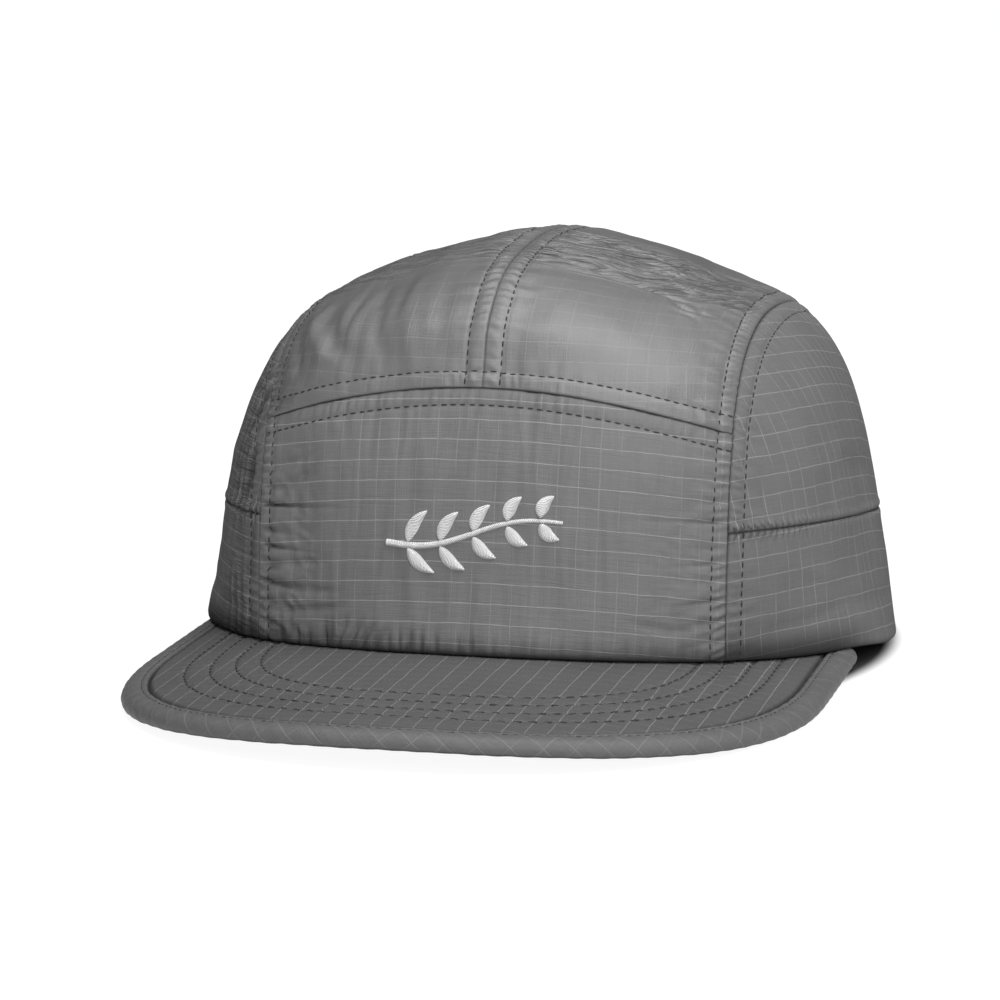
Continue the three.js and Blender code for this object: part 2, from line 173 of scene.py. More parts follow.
# %% Ways to find a point of the crown
ray_height = crown_height * 0.3
halving_rounds = 26


def mix(start, end, share):
    return start + (end - start) * share


def ease(share):
    share = np.clip(share, 0, 1)
    return share * share * (3 - 2 * share)


def remainder(share, squareness):
    """What a superellipse leaves of one half axis at a share of the other."""
    return np.maximum(0, 1 - np.abs(share) ** squareness) ** (1 / squareness)


def crown_y(x, z, in_front):
    side, front, back, squareness = level_section(z)
    reach = remainder(x / side, squareness)
    return -front * reach if in_front else back * reach


def crown_x(y, z):
    side, front, back, squareness = level_section(z)
    return side * remainder(y / np.where(y < 0, front, back), squareness)


def is_inside(x, y, z):
    side, front, back, squareness = level_section(z)
    reach = np.where(y < 0, front, back)
    safe_side, safe_reach = np.maximum(side, 1e-6), np.maximum(reach, 1e-6)
    sum_of_powers = (np.abs(x) / safe_side) ** squareness + (np.abs(y) / safe_reach) ** squareness
    return (sum_of_powers < 1) & (z < crown_height)


def crown_on_ray(x, angle):
    """Points of the crown at X, on rays that leave its middle at an angle from -Y."""
    x, angle = np.broadcast_arrays(np.asarray(x, float), np.asarray(angle, float))
    low, high = np.zeros(x.shape), np.full(x.shape, back_depth + crown_height)
    for _ in range(halving_rounds):
        middle = (low + high) / 2
        inside = is_inside(x, -middle * np.cos(angle), ray_height + middle * np.sin(angle))
        low, high = np.where(inside, middle, low), np.where(inside, high, middle)
    return np.stack((x, -low * np.cos(angle), ray_height + low * np.sin(angle)), axis=-1)


def angle_of(y, z):
    angle = np.arctan2(z - ray_height, -y)
    return np.where(angle < -math.pi / 2, angle + 2 * math.pi, angle)


top_point = crown_on_ray(0.0, math.pi / 2)
print("top of the crown, mm:", np.round(top_point, 2))

# %% [markdown]
# ## The brim's outline and the rim
# The brim is a crescent with straight sides and a rounded front. It is arched across, so the
# crown's lower edge, which stands on it, is arched too in front and comes down to the floor
# behind. The outline can be drawn in from the edge by one distance at the sides and another in
# front, because the stitch rows lie a little wider apart in front.

# %% Brim outline, brim height and rim height
brim_front_y = -(front_depth + brim_length)
brim_end_y = float(crown_y(brim_half_width, brim_thickness, True))
brim_corner_y = brim_end_y - brim_straight_side


def brim_outline(run, side_inset, front_inset=None):
    """X and Y of the brim's outline. A run of 0 is the right end and 1 the left end."""
    front_inset = side_inset if front_inset is None else front_inset
    across = brim_half_width - side_inset
    reach = brim_corner_y - brim_front_y - front_inset
    arc = math.pi / 2 * math.hypot(across, reach) / math.sqrt(2)
    travel = np.minimum(run, 1 - run) * 2 * (brim_straight_side + arc)
    side = np.where(run < 0.5, 1, -1)
    turn = np.clip((travel - brim_straight_side) / arc, 0, 1) * math.pi / 2
    power = 2 / brim_squareness
    x = side * across * np.maximum(0, np.cos(turn)) ** power
    y = brim_corner_y - reach * np.sin(turn) ** power
    straight = travel < brim_straight_side
    return np.where(straight, side * across, x), np.where(straight, brim_end_y - travel, y)


def brim_form(x, y):
    return brim_arch * (1 - (x / brim_half_width) ** 2) + brim_pitch * (y - brim_corner_y)


edge_samples = np.linspace(0, 1, 49)
brim_base = brim_thickness - brim_form(*brim_outline(edge_samples, brim_thickness / 2)).min()


def brim_top(x, y):
    return brim_form(x, y) + brim_base


def rim_height(x, y):
    on_brim = brim_top(x, np.minimum(y, brim_end_y)) + 0.3
    return on_brim * (1 - ease((y - brim_end_y) / rim_landing))


def rim_height_front(x):
    z = np.full(np.shape(x), brim_base)
    for _ in range(4):
        z = rim_height(x, crown_y(x, z, True))
    return z


def back_edge_height(x):
    share = np.minimum(1, np.abs(x) / back_opening_half_width)
    return back_opening_height * remainder(share, back_opening_squareness)


print("brim's top in the middle of its front edge, mm:", round(float(brim_top(0, brim_front_y)), 2))

# %% [markdown]
# ## Where the panels lie
# The front panel is wrapped by its width and height. The two top panels run over the head
# from the front seam to the lower edge behind, and the side panels fill what is left between
# the long seam, the cross seam and the rim. Each function takes shares across and along the
# panel, from 0 to 1, and gives points on the crown.

# %% Places of the front, top and side panels
seam_x = seam_half_width + seam_gap / 2


def front_seam_height(x):
    return mix(front_seam_middle, front_seam_corner, (x / seam_half_width) ** 2)


def front_place(u, v):
    x = (seam_half_width - seam_gap / 2) * (2 * u - 1)
    z = mix(rim_height_front(x), front_seam_height(x) - seam_gap / 2, v)
    return np.stack(np.broadcast_arrays(x, crown_y(x, z, True), z), axis=-1)


def top_place(u, v):
    x = mix(seam_gap / 2, seam_half_width - seam_gap / 2, u)
    start_z = front_seam_height(x) + seam_gap / 2
    end_z = back_edge_height(x)
    start = angle_of(crown_y(x, start_z, True), start_z)
    end = angle_of(crown_y(x, end_z, False), end_z)
    return crown_on_ray(x, mix(start, end, v))


def pair(y, z):
    return np.stack(np.broadcast_arrays(y, z), axis=-1)


def seam_arch(share):
    start = angle_of(crown_y(seam_x, patch_corner, True), patch_corner)
    end = angle_of(crown_y(seam_x, patch_corner, False), patch_corner)
    return crown_on_ray(seam_x, mix(start, end, share))[..., 1:]


def seam_stretch(low, high, in_front):
    return lambda share: pair(crown_y(seam_x, mix(low, high, share), in_front), mix(low, high, share))


def cross_seam(lip):
    front_y = crown_y(seam_x, cross_seam_front + lip, True)
    back_y = crown_y(seam_x, cross_seam_back + lip, False)
    fall = lambda share: mix(cross_seam_front, cross_seam_back, ease(share)) + lip
    return lambda share: pair(mix(front_y, back_y, share), fall(share))


def side_rim(share):
    front_y = crown_y(seam_x, rim_height_front(seam_x), True)
    y = mix(front_y, crown_y(seam_x, 0, False), share)
    z = np.zeros(np.shape(y))
    for _ in range(4):
        z = rim_height(crown_x(y, z), y)
    return pair(y, z)


def side_patch(bottom, top, front, back):
    """A place function that fills the space between four edges given as Y and height."""
    def place(u, v):
        u, v = u[..., None], v[..., None]
        lower, upper = bottom(u[..., 0]), top(u[..., 0])
        near, far = front(v[..., 0]), back(v[..., 0])
        corners = bottom(0.0) * (1 - u) * (1 - v) + bottom(1.0) * u * (1 - v)
        corners = corners + top(0.0) * (1 - u) * v + top(1.0) * u * v
        flat = lower * (1 - v) + upper * v + near * (1 - u) + far * u - corners
        y, z = flat[..., 0], flat[..., 1]
        return np.stack((crown_x(y, z), y, z), axis=-1)
    return place


def side_lower_place():
    lip = -seam_gap / 2
    low_front, low_back = side_rim(0.0)[1], side_rim(1.0)[1]
    front = seam_stretch(low_front, cross_seam_front + lip, True)
    back = seam_stretch(low_back, cross_seam_back + lip, False)
    return side_patch(side_rim, cross_seam(lip), front, back)


def side_upper_place():
    lip = seam_gap / 2
    front = seam_stretch(cross_seam_front + lip, patch_corner, True)
    back = seam_stretch(cross_seam_back + lip, patch_corner, False)
    return side_patch(cross_seam(lip), seam_arch, front, back)


def mirrored(place):
    return lambda u, v: place(1 - u, v) * (-1, 1, 1)


print("lower corner of the front panel, mm:", np.round(front_place(1.0, 0.0), 1))

# %% [markdown]
# ## Soft folds and noise
# Thin nylon keeps a few broad dents from being handled. They are bell shaped bumps, one row of
# a table each, and the solid model has nearly the same ones. Finer waves come from Blender's own
# noise, which gives the same values on every run.

# %% Broad folds, waves and wobble
fold_depth = 2.2
fold_reach = 30.0
# Middle as shares of half width, depth and height; reach along X, Y and Z; depth
folds = (
    (0.46, -0.62, 0.84, 0.50, 0.50, 0.35, -0.50),
    (0.30, -0.25, 0.98, 0.45, 0.70, 0.50, -0.20),
    (0.52, 0.05, 0.90, 0.30, 0.90, 0.40, -0.55),
    (-0.40, -0.60, 0.86, 0.28, 0.60, 0.60, -0.25),
    (-0.18, -0.50, 0.93, 0.22, 0.80, 0.60, 0.35),
    (-0.45, 0.10, 0.92, 0.40, 0.80, 0.40, 0.15),
    (-0.52, -0.90, 0.34, 0.22, 0.80, 0.80, -0.40),
    (0.88, -0.35, 0.20, 0.80, 0.90, 0.45, -0.45),
    (-0.88, -0.35, 0.20, 0.80, 0.90, 0.45, -0.45),
    (-0.84, -0.10, 0.64, 0.80, 1.40, 1.00, -0.75),
    (0.88, 0.12, 0.56, 0.80, 1.40, 1.00, 0.65),
    (0.30, 0.80, 0.62, 0.90, 0.80, 0.28, -0.50),
    (-0.25, 0.86, 0.50, 0.80, 0.80, 0.25, -0.45),
)


def fold_lift(points):
    lift = np.zeros(points.shape[:-1])
    for x, y, z, reach_x, reach_y, reach_z, depth in folds:
        middle = (x * crown_half_width, y * (front_depth if y < 0 else back_depth), z * crown_height)
        away = (points - middle) / (np.array((reach_x, reach_y, reach_z)) * fold_reach)
        lift += depth * fold_depth * np.exp(-(away**2).sum(axis=-1))
    return lift


def waves(first, second, seed, octaves=2):
    """Smooth noise over two coordinates, about -1 to 1."""
    flat = zip(np.ravel(first), np.ravel(second))
    values = [noise.fractal((a, b, seed), 1.0, 2.0, octaves) for a, b in flat]
    return np.reshape(values, np.shape(first))


def crumple(first, second, seed):
    """Noise with sharp crests, like cloth that was squeezed."""
    flat = zip(np.ravel(first), np.ravel(second))
    values = [1 - 2 * abs(noise.noise((a, b, seed))) for a, b in flat]
    return np.reshape(values, np.shape(first))


def wobble(run, seed):
    """An uneven wave along a seam, about -1 to 1."""
    slow = np.sin(0.23 * run + 1.7 * seed) + np.sin(0.41 * run + 4.1 * seed)
    return (slow + np.sin(0.97 * run + 2.3 * seed)) / 3


print("broad folds:", len(folds))

# %% [markdown]
# ## Relief beside the seams
# A seam on thin cloth is a sharp groove between two soft rolls, because the turned edges
# underneath are four layers thick. A stitch row 4 mm away pulls the cloth down again, and
# the thread's tension gathers it into small ribs between the seam and the row.

# %% Seam rolls, puckers and hems
stitch_offset = 4.2
stitch_pitch = 2.3
hem_radius = 1.4


def bell(distance, middle, width):
    return np.exp(-(((distance - middle) / width) ** 2))


def seam_relief(distance, run, seed, pucker=1.0, groove=0.40):
    """How far the cloth rises beside a seam, from the distance to it and the run along it."""
    roll = 0.14 * bell(distance, 2.1, 1.4) - groove * bell(distance, 0, 0.30)
    dip = -0.26 * bell(distance, stitch_offset, 0.6)
    uneven = 0.55 + 0.45 * wobble(run * 0.6, seed + 5)
    phase = 2 * math.pi * run / stitch_pitch + 2.2 * wobble(run, seed)
    ribs = 0.38 * np.sin(phase + 0.5 * distance) * bell(distance, 2.1, 1.7)
    wide_phase = math.pi * run / stitch_pitch + 1.8 * wobble(run * 0.7, seed + 9)
    gathers = 0.20 * np.sin(wide_phase) * bell(distance, stitch_offset + 1.5, 3.2)
    return roll + dip + pucker * uneven * (ribs + gathers)


def tucks(distance, run, pitch, reach, seed):
    """Short sharp valleys that start at a stitch row and fade out over the cloth."""
    phase = 2 * math.pi * run / pitch + 2.6 * wobble(run * 0.8, seed)
    valley = np.maximum(0, np.sin(phase)) ** 3
    local = np.clip(0.55 + 0.75 * wobble(run * 0.7, seed + 3), 0.1, 1.2)
    fade = np.exp(-((np.maximum(0, distance - stitch_offset) / (reach * local)) ** 1.5))
    return -valley * local * fade * ease(distance / stitch_offset)


def hem_roll(distance):
    """The turned edge of a hem curls in over its last stretch."""
    short = np.clip((hem_radius - distance) / hem_radius, 0, 1)
    return -hem_radius * (1 - np.sqrt(1 - short**2))


def seam_distance(points, normals, seam_place):
    """Distance over the cloth to a seam that keeps to one X on each side."""
    slope = np.sqrt(np.maximum(0.05, 1 - normals[..., 0] ** 2))
    return np.abs(np.abs(points[..., 0]) - seam_place) / slope


seam_angles = np.linspace(-0.6, math.pi + 0.6, 400)
seam_points = crown_on_ray(seam_half_width, seam_angles)
seam_lengths = np.concatenate(([0], np.cumsum(np.linalg.norm(np.diff(seam_points, axis=0), axis=1))))


def seam_run(points):
    return np.interp(angle_of(points[..., 1], points[..., 2]), seam_angles, seam_lengths)


print("long seam from rim to rim, mm:", round(float(seam_lengths[-1])))

# %% [markdown]
# ## Single creases
# Some wrinkles on a worn cap catch the eye because they are single and sharp. Each row of a
# crease table gives the middle of one crease on its panel, the way it runs, its half length
# and half width, its depth and how much it bends. A minus depth is a valley.

# %% Creases from a table
def crease_lift(across, along, creases):
    """Adds up the creases of a panel, in millimetres across and along it."""
    lift = np.zeros(across.shape)
    for middle_across, middle_along, heading, half_length, half_width, depth, bend in creases:
        turn = math.radians(heading)
        east, north = across - middle_across, along - middle_along
        forward = east * math.cos(turn) + north * math.sin(turn)
        sideways = north * math.cos(turn) - east * math.sin(turn)
        sideways = sideways - bend * forward**2 / half_length
        lift += depth * np.exp(-((forward / half_length) ** 4) - (sideways / half_width) ** 2)
    return lift


# %% [markdown]
# ## A sheet of cloth from a grid
# Each panel starts as Blender's flat grid. Every vertex of that grid knows its own row and
# column, so it can be moved to the place worked out for it. The flat pattern coordinates go
# into a UV map in millimetres, which lets the ripstop threads follow the cut cloth. Solidify
# then gives the wall its thickness.

# %% Make the sheet
cloth_thickness = 1.1
floor_clearance = 0.1


def in_model(points):
    """Crown millimetres to metres in the model's frame."""
    return (np.asarray(points, float) + (0, frame_shift, 0)) * MILLIMETRE


def new_object(name, mesh):
    """Shades a mesh smooth and puts it in the scene under its own name."""
    mesh.polygons.foreach_set("use_smooth", np.ones(len(mesh.polygons), bool))
    obj = bpy.data.objects.new(name, mesh)
    bpy.context.scene.collection.objects.link(obj)
    return obj


def sheet(name, points, pattern, seam=0.0, wrinkle=0.03, thickness=cloth_thickness):
    """A named object from a grid of points, with its pattern, its painted shade (the seam attribute) and its
    fine wrinkles.
    """
    rows, cols = points.shape[:2]
    bm = bmesh.new()
    bmesh.ops.create_grid(bm, x_segments=cols - 1, y_segments=rows - 1, size=1)
    mesh = bpy.data.meshes.new(name)
    bm.to_mesh(mesh)
    bm.free()
    flat = np.empty(len(mesh.vertices) * 3)
    mesh.vertices.foreach_get("co", flat)
    flat = flat.reshape(-1, 3)
    col = np.rint((flat[:, 0] + 1) / 2 * (cols - 1)).astype(int)
    row = np.rint((flat[:, 1] + 1) / 2 * (rows - 1)).astype(int)
    points = np.maximum(points, (-np.inf, -np.inf, floor_clearance))
    mesh.vertices.foreach_set("co", in_model(points[row, col]).ravel())
    corner = np.empty(len(mesh.loops), int)
    mesh.loops.foreach_get("vertex_index", corner)
    uv_map = mesh.uv_layers.new(name="cloth")
    uv_map.data.foreach_set("uv", pattern[row, col][corner].ravel())
    # The seam attribute holds painted shade: how much the colour is darkened where little light reaches the
    # cloth.
    for label, values in (("seam", seam), ("wrinkle", wrinkle)):
        values = np.broadcast_to(values, (rows, cols))[row, col]
        mesh.attributes.new(label, "FLOAT", "POINT").data.foreach_set("value", values.astype(float))
    mesh.update()
    obj = new_object(name, mesh)
    if thickness:
        wall = obj.modifiers.new("wall", "SOLIDIFY")
        wall.thickness = thickness * MILLIMETRE
        wall.offset = -1
    return obj


def running_length(points, axis):
    steps = np.linalg.norm(np.diff(points, axis=axis), axis=2)
    start = np.zeros_like(steps[:1] if axis == 0 else steps[:, :1])
    return np.concatenate((start, np.cumsum(steps, axis=axis)), axis=axis)


def outward(points):
    across, along = np.gradient(points, axis=1), np.gradient(points, axis=0)
    normals = np.cross(across, along)
    return normals / np.maximum(1e-9, np.linalg.norm(normals, axis=2, keepdims=True))


def even_steps(length, step):
    return np.linspace(0, 1, int(round(length / step)) + 1)


def edge_steps(length, fine, coarse, margin):
    """Shares of a length, close together near both ends."""
    edge = np.arange(0, margin, fine)
    middle = np.linspace(margin, length - margin, int(round((length - 2 * margin) / coarse)) + 1)
    return np.concatenate((edge, middle, (length - edge)[::-1])) / length


def surface(place, across_shares, along_shares):
    u, v = np.meshgrid(across_shares, along_shares)
    return place(u, v)


# %% [markdown]
# ## Pattern coordinates
# The threads of a flat piece of cloth are straight. Wrapped round a crown that narrows
# upwards they droop towards the sides, as a straight line on a paper cone does. Unrolling the
# cone gives each point its place in the flat cloth.

# %% Unroll a cone, and measure the slope
cone_apex = 370.0
heights = np.linspace(0, crown_height, 800)


def slope_length(name, size):
    """Length up the crown's profile from the floor to each height."""
    profile = np.interp(heights / crown_height, columns["height"], columns[name]) * size
    return np.concatenate(([0], np.cumsum(np.hypot(np.diff(heights), np.diff(profile)))))


front_slope = slope_length("front", front_depth)
side_slope = slope_length("side", crown_half_width)


def unroll(run, rise):
    radius = np.maximum(cone_apex - rise, 60)
    turn = run / radius
    return np.stack((radius * np.sin(turn), cone_apex - radius * np.cos(turn)), axis=-1)


def level_run(points, start_y, steps=24):
    """Length of the level line from a depth to each point of a side panel."""
    y, z = points[..., 1], points[..., 2]
    total = np.zeros(y.shape)
    before = None
    for share in np.linspace(0, 1, steps):
        y_here = mix(start_y, y, share)
        here = np.stack((crown_x(y_here, z), y_here), axis=-1)
        if before is not None:
            total += np.linalg.norm(here - before, axis=-1)
        before = here
    return total * np.sign(y - start_y)


print("up the front and the side, mm:", round(front_slope[-1]), round(side_slope[-1]))

# %% [markdown]
# ## Front panel
# The front panel stands over the brim. It is nearly plain: soft upright waves, tucks and bunched cloth along
# the left side seam, and small gathers where it is sewn to the brim. The tucks and gathers are waves that
# fade with the distance to their seam. The deep ones also get painted shade, because little light reaches
# the bottom of a tuck. Painted shade also darkens the seam lines, a band above the hem where it meets the
# brim, and the valleys of the bunched cloth.

# %% Make the front panel
crown_step = 0.55
# Middle across and along, heading in degrees, half length, half width, depth, bend
front_creases = (
    (-45.0, 8.5, 4, 12.0, 1.0, -0.60, 0.05),
    (-44.0, 13.5, -3, 9.0, 0.9, -0.55, 0.04),
    (-47.0, 19.5, 5, 8.5, 0.9, -0.50, 0.0),
    (-48.0, 39.0, 26, 7.5, 1.1, -0.70, 0.1),
    (-49.0, 43.5, 14, 8.0, 0.9, -0.45, 0.1),
    (-33.0, 3.6, 64, 4.2, 0.8, -0.80, 0.0),
    (-29.5, 3.4, 58, 4.0, 0.8, -0.85, 0.0),
    (-26.0, 3.2, 55, 3.6, 0.8, -0.80, 0.0),
    (-22.5, 2.8, 60, 3.2, 0.7, -0.60, 0.0),
    (-15.0, 2.4, 70, 2.4, 0.7, -0.35, 0.0),
    (44.0, 8.0, -8, 7.0, 1.0, -0.30, 0.05),
)
front = surface(front_place, even_steps(122, crown_step), even_steps(66, crown_step))
front_normals = outward(front)
front_run = running_length(front, 1)
front_run = front_run - front_run[:, front_run.shape[1] // 2, None]
front_rise = running_length(front, 0)
front_end = front_rise[-1] - front_rise
front_seam_gap = seam_distance(front, front_normals, seam_half_width)
lift = fold_lift(front) + hem_roll(front_rise)
lift += seam_relief(front_seam_gap, seam_run(front), 1, pucker=1.3)
lift += seam_relief(front_end, front[..., 0], 2, pucker=0.6)
lift += crease_lift(front_run, front_rise, front_creases)
left_side = np.where(front[..., 0] < 0, 1.0, 0.3) * ease((60 - front[..., 2]) / 20)
side_tucks = left_side * tucks(front_seam_gap, seam_run(front), 4.3, 9.0, 12)
gathered = 0.4 + 0.9 * bell(front[..., 0], -28, 26)
brim_tucks = gathered * tucks(front_rise + 2, front[..., 0], 4.2, 3.2, 17)
lift += 1.6 * side_tucks + 0.9 * brim_tucks
squeezed = left_side * bell(front_seam_gap, 8, 9)
bunched = crumple(front_run / 5 + front_rise / 16, front_rise / 4.2, 14)
lift += 0.65 * squeezed * bunched
lift += 0.25 * ease((front_run + 60) / 20) * crumple(front_run / 3.5, front_rise / 26, 16)
lift += 0.20 * waves(front_run / 11, front_rise / 45, 3)
lift += 0.08 * waves(front_run / 4, front_rise / 16, 4)
front_pattern = unroll(front_run, np.interp(front[..., 2], heights, front_slope))
# Painted shade: along the seams, in a band above the hem, in deep tucks and gathers, and in the valleys of
# the bunched cloth.
front_shade = np.maximum(0.45 * bell(front_seam_gap, 0, 0.35), bell(front_end, 0, 0.40))
hem_shadow = 2.8 + 2.6 * gathered * np.maximum(0, wobble(front[..., 0] * 2.2, 8))
front_shade = np.maximum(front_shade, bell(front_rise, 0.3, hem_shadow))
front_shade = np.maximum(front_shade, -0.9 * side_tucks - 0.9 * brim_tucks)
front_shade = np.maximum(front_shade, squeezed * np.maximum(0, 0.12 - 0.6 * bunched))
front_points = front + front_normals * lift[..., None]
front_panel = sheet("front_panel_cloth", front_points, front_pattern, front_shade)
print("front panel quads:", len(front_panel.data.polygons))

# %% [markdown]
# ## Top panels
# The two top panels show the satin of the cloth best. Behind their highest line the cloth
# is crumpled, with wrinkles that run mostly across, and the left one has a deep dent with a
# bright crescent beside it. A cloth simulation would crumple it somewhere else each time its
# settings change, so noise with sharp crests is used, which fades out towards the back.

# %% Make the top panels
# Middle across and along, heading in degrees, half length, half width, depth, bend
top_creases = {
    1: (
        (12.0, 49.0, 10, 12.0, 1.1, -0.70, 0.1),
        (24.0, 46.0, -12, 11.0, 1.0, -0.80, 0.1),
        (36.0, 43.0, -22, 9.0, 0.8, -0.60, 0.1),
        (43.0, 37.5, -34, 5.0, 0.7, -0.55, 0.5),
        (45.5, 34.5, -20, 4.0, 0.7, -0.50, -0.6),
        (47.5, 38.0, -50, 4.0, 0.7, -0.45, 0.4),
        (30.0, 53.0, 6, 14.0, 1.2, -0.80, -0.1),
        (16.0, 57.0, -6, 12.0, 1.2, -0.80, 0.1),
        (40.0, 50.0, -14, 10.0, 1.1, -0.80, 0.1),
        (8.0, 20.0, 86, 16.0, 4.0, -0.35, 0.1),
    ),
    -1: (
        (48.5, 19.0, 64, 12.0, 2.3, 1.10, 0.35),
        (43.5, 20.0, 66, 13.0, 3.2, -1.15, 0.30),
        (53.5, 15.0, 70, 8.0, 1.8, -0.60, 0.1),
        (30.0, 22.0, 78, 14.0, 2.4, -0.85, 0.1),
        (21.0, 20.0, 82, 16.0, 2.2, 0.65, 0.1),
        (12.0, 22.0, 84, 16.0, 2.4, -0.40, 0.0),
        (50.0, 24.0, 60, 9.0, 1.6, 0.50, 0.2),
    ),
}
crumple_start, crumple_end = 40.0, 76.0


def top_panel(name, side):
    shares = edge_steps(57, crown_step, 1.0, 9)
    place = top_place
    if side < 0:
        shares, place = 1 - shares[::-1], mirrored(top_place)
    points = surface(place, shares, even_steps(235, crown_step))
    normals = outward(points)
    across = running_length(points, 1)
    if side < 0:
        across = across[:, -1:] - across
    along = running_length(points, 0)
    to_side = seam_distance(points, normals, seam_half_width)
    to_middle = seam_distance(points, normals, 0)
    to_rim = along[-1] - along
    run = seam_run(points)
    lift = fold_lift(points) + hem_roll(to_rim)
    lift += seam_relief(to_side, run, 1, pucker=1.3) + seam_relief(to_middle, run, 6, groove=0.15)
    lift += seam_relief(along, points[..., 0], 2, pucker=0.6)
    lift += crease_lift(across, along, top_creases[side])
    inner = ease(to_side / 8) * ease(to_middle / 8) * ease(to_rim / 10)
    strength = 1.0 if side > 0 else 0.55
    faded = 0.03 + 0.97 * (1 - ease((along - crumple_end) / 25))
    back = strength * ease((along - crumple_start) / 10) * faded
    lift += 0.40 * inner * waves(across / 16, along / 30, 7 + side)
    lift += 0.14 * inner * waves(across / 6, along / 9, 33 + side)
    crests = crumple(across / 17 + 0.3 * along / 9, along / 7, 11 + side)
    lift += 0.80 * inner * back * crests
    folds_across = crumple(across / 20, along / 3.4, 15 + side)
    lift += 0.85 * inner * back * folds_across
    if side < 0:
        upright = bell(across, 38, 13) * bell(along, 24, 17)
        lift += 0.75 * inner * upright * crumple(across / 4.5, along / 24, 19)
    lift -= (0.8 if side > 0 else 0.2) * inner * back
    start = front_seam_height(points[:1, :, 0])
    rise = along + np.interp(start, heights, front_slope)
    # Painted shade: darker along the seam lines and in the valleys of the crumpled cloth.
    seam_lines = ((to_side, 0.5), (to_middle, 0.2), (along, 1.0))
    shade = np.maximum.reduce([depth * bell(distance, 0, 0.35) for distance, depth in seam_lines])
    shade = np.maximum(shade, 0.45 * inner * back * np.clip(-crests - folds_across, 0, 1))
    if side < 0:
        # Painted shade in a patch of the left panel beside its side seam.
        shade = np.maximum(shade, 0.35 * bell(to_side, 3, 5) * bell(along, 4, 16))
    pattern = np.stack((across, rise), axis=-1)
    # Where the fine wrinkles lie: the shader bumps them and paints their crests lighter and their troughs
    # darker.
    wrinkle = 0.94 * inner * back * (1 - ease((along - crumple_end) / 18))
    return sheet(name, points + normals * lift[..., None], pattern, shade, wrinkle)


top_right = top_panel("top_panel_right_cloth", 1)
top_left = top_panel("top_panel_left_cloth", -1)
print("top panel quads:", len(top_right.data.polygons))

# %% [markdown]
# ## Side panels
# Each side panel is cut in two, and the cross seam between the halves is pressed flat with no stitch row.
# Near the front it twists like a thin rope. The threads run nearly level and tilt a little down to the back.
# On the left the cloth is creased beside the front seam. Painted shade darkens the left side there, the
# seams, the rope's twists and a band above the hem.

# %% Make the side panels
side_thread_middle = 22.0
rope_turn = 3.0
# Middle across and along, heading in degrees, half length, half width, depth, bend
side_creases = {
    "upper": (
        (12.0, 10.0, 80, 6.0, 1.4, -0.25, 0.0),
        (40.0, 14.0, 10, 16.0, 3.5, 0.30, 0.05),
        (66.0, 12.0, -5, 16.0, 3.0, -0.35, 0.05),
    ),
    "lower": (
        (24.0, 9.0, 8, 18.0, 1.8, -0.35, 0.02),
        (60.0, 11.0, 3, 24.0, 2.4, -0.35, 0.0),
        (28.0, 20.0, -12, 10.0, 1.8, 0.20, 0.0),
    ),
}


def side_panel(name, side, level):
    place = side_upper_place() if level == "upper" else side_lower_place()
    along_shares = edge_steps(68, crown_step, 1.0, 9) if level == "upper" else even_steps(34, 0.75)
    points = surface(place, even_steps(196, crown_step), along_shares)
    if side < 0:
        points = points[:, ::-1] * (-1, 1, 1)
    normals = outward(points)
    up = running_length(points, 0)
    to_seam = seam_distance(points, normals, seam_half_width)
    to_cross = up if level == "upper" else up[-1] - up
    run = seam_run(points)
    front_y = crown_y(seam_x, cross_seam_front, True)
    level_length = level_run(points, front_y)
    lift = fold_lift(points) + seam_relief(to_seam, run, 1, pucker=0.8)
    lift += 0.22 * bell(to_cross, 1.3, 0.9) * (1 if level == "upper" else 0.3)
    lift += -0.40 * bell(to_cross, 0, 0.35)
    bump_height = 0.10 + 0.40 * bell(level_length, 0, 30)
    bumps = bump_height * np.sin(rope_turn * level_length + 3 * wobble(level_length, 4))
    lift += bumps * bell(to_cross, 0.8, 1.5)
    twist = np.maximum(0, np.sin(rope_turn * level_length + 2.2 * to_cross)) * bell(level_length, 4, 24)
    if level == "lower":
        lift += hem_roll(up)
    lift += crease_lift(level_length, up, side_creases[level])
    inner = ease(to_seam / 8)
    lift += 0.28 * inner * waves(level_length / 14, points[..., 2] / 22, 21 + side)
    lift += 0.14 * inner * waves(level_length / 5, points[..., 2] / 16, 25 + side)
    rise = np.interp(points[..., 2], heights, side_slope)
    pattern = unroll(level_length - side_thread_middle, rise)
    # Painted shade along the seams and in the twists of the rope-like cross seam.
    shade = np.maximum(0.45 * bell(to_seam, 0, 0.35), 0.8 * bell(to_cross, 0, 0.35))
    shade = np.maximum(shade, 0.8 * twist * bell(to_cross, 0.9, 1.0))
    if level == "lower":
        # Painted shade in a band above the hem, where the side panel meets the brim.
        shade = np.maximum(shade, bell(up, 1.0, 4.5) * ease((60 - level_length) / 30))
    wrinkle = 0.0
    if side < 0:
        creased_and_shaded = bell(level_length, 2, 30) * (1.0 if level == "upper" else 0.4)
        creased = crumple(level_length / 4.2, points[..., 2] / 19, 27)
        lift += 0.8 * inner * creased_and_shaded * creased
        wrinkle = 0.6 * inner * creased_and_shaded
        # Painted shade over the creased left side, darkest in the valleys of the creases.
        shade = np.maximum(shade, creased_and_shaded * np.clip(0.60 - 0.5 * creased, 0.2, 0.9))
    return sheet(name, points + normals * lift[..., None], pattern, shade, wrinkle)


side_panels = {}
for side, side_name in ((1, "right"), (-1, "left")):
    for level in ("upper", "lower"):
        name = f"side_{level}_{side_name}_cloth"
        side_panels[f"side_{level}_{side_name}"] = side_panel(name, side, level)
print("side panels:", sorted(side_panels))

# %% [markdown]
# ## Brim
# The brim is a stiff board under cloth. Four rows of stitching run round it parallel to its
# edge and pull the cloth down into shallow lines. The cloth dives into a groove where the
# binding starts.

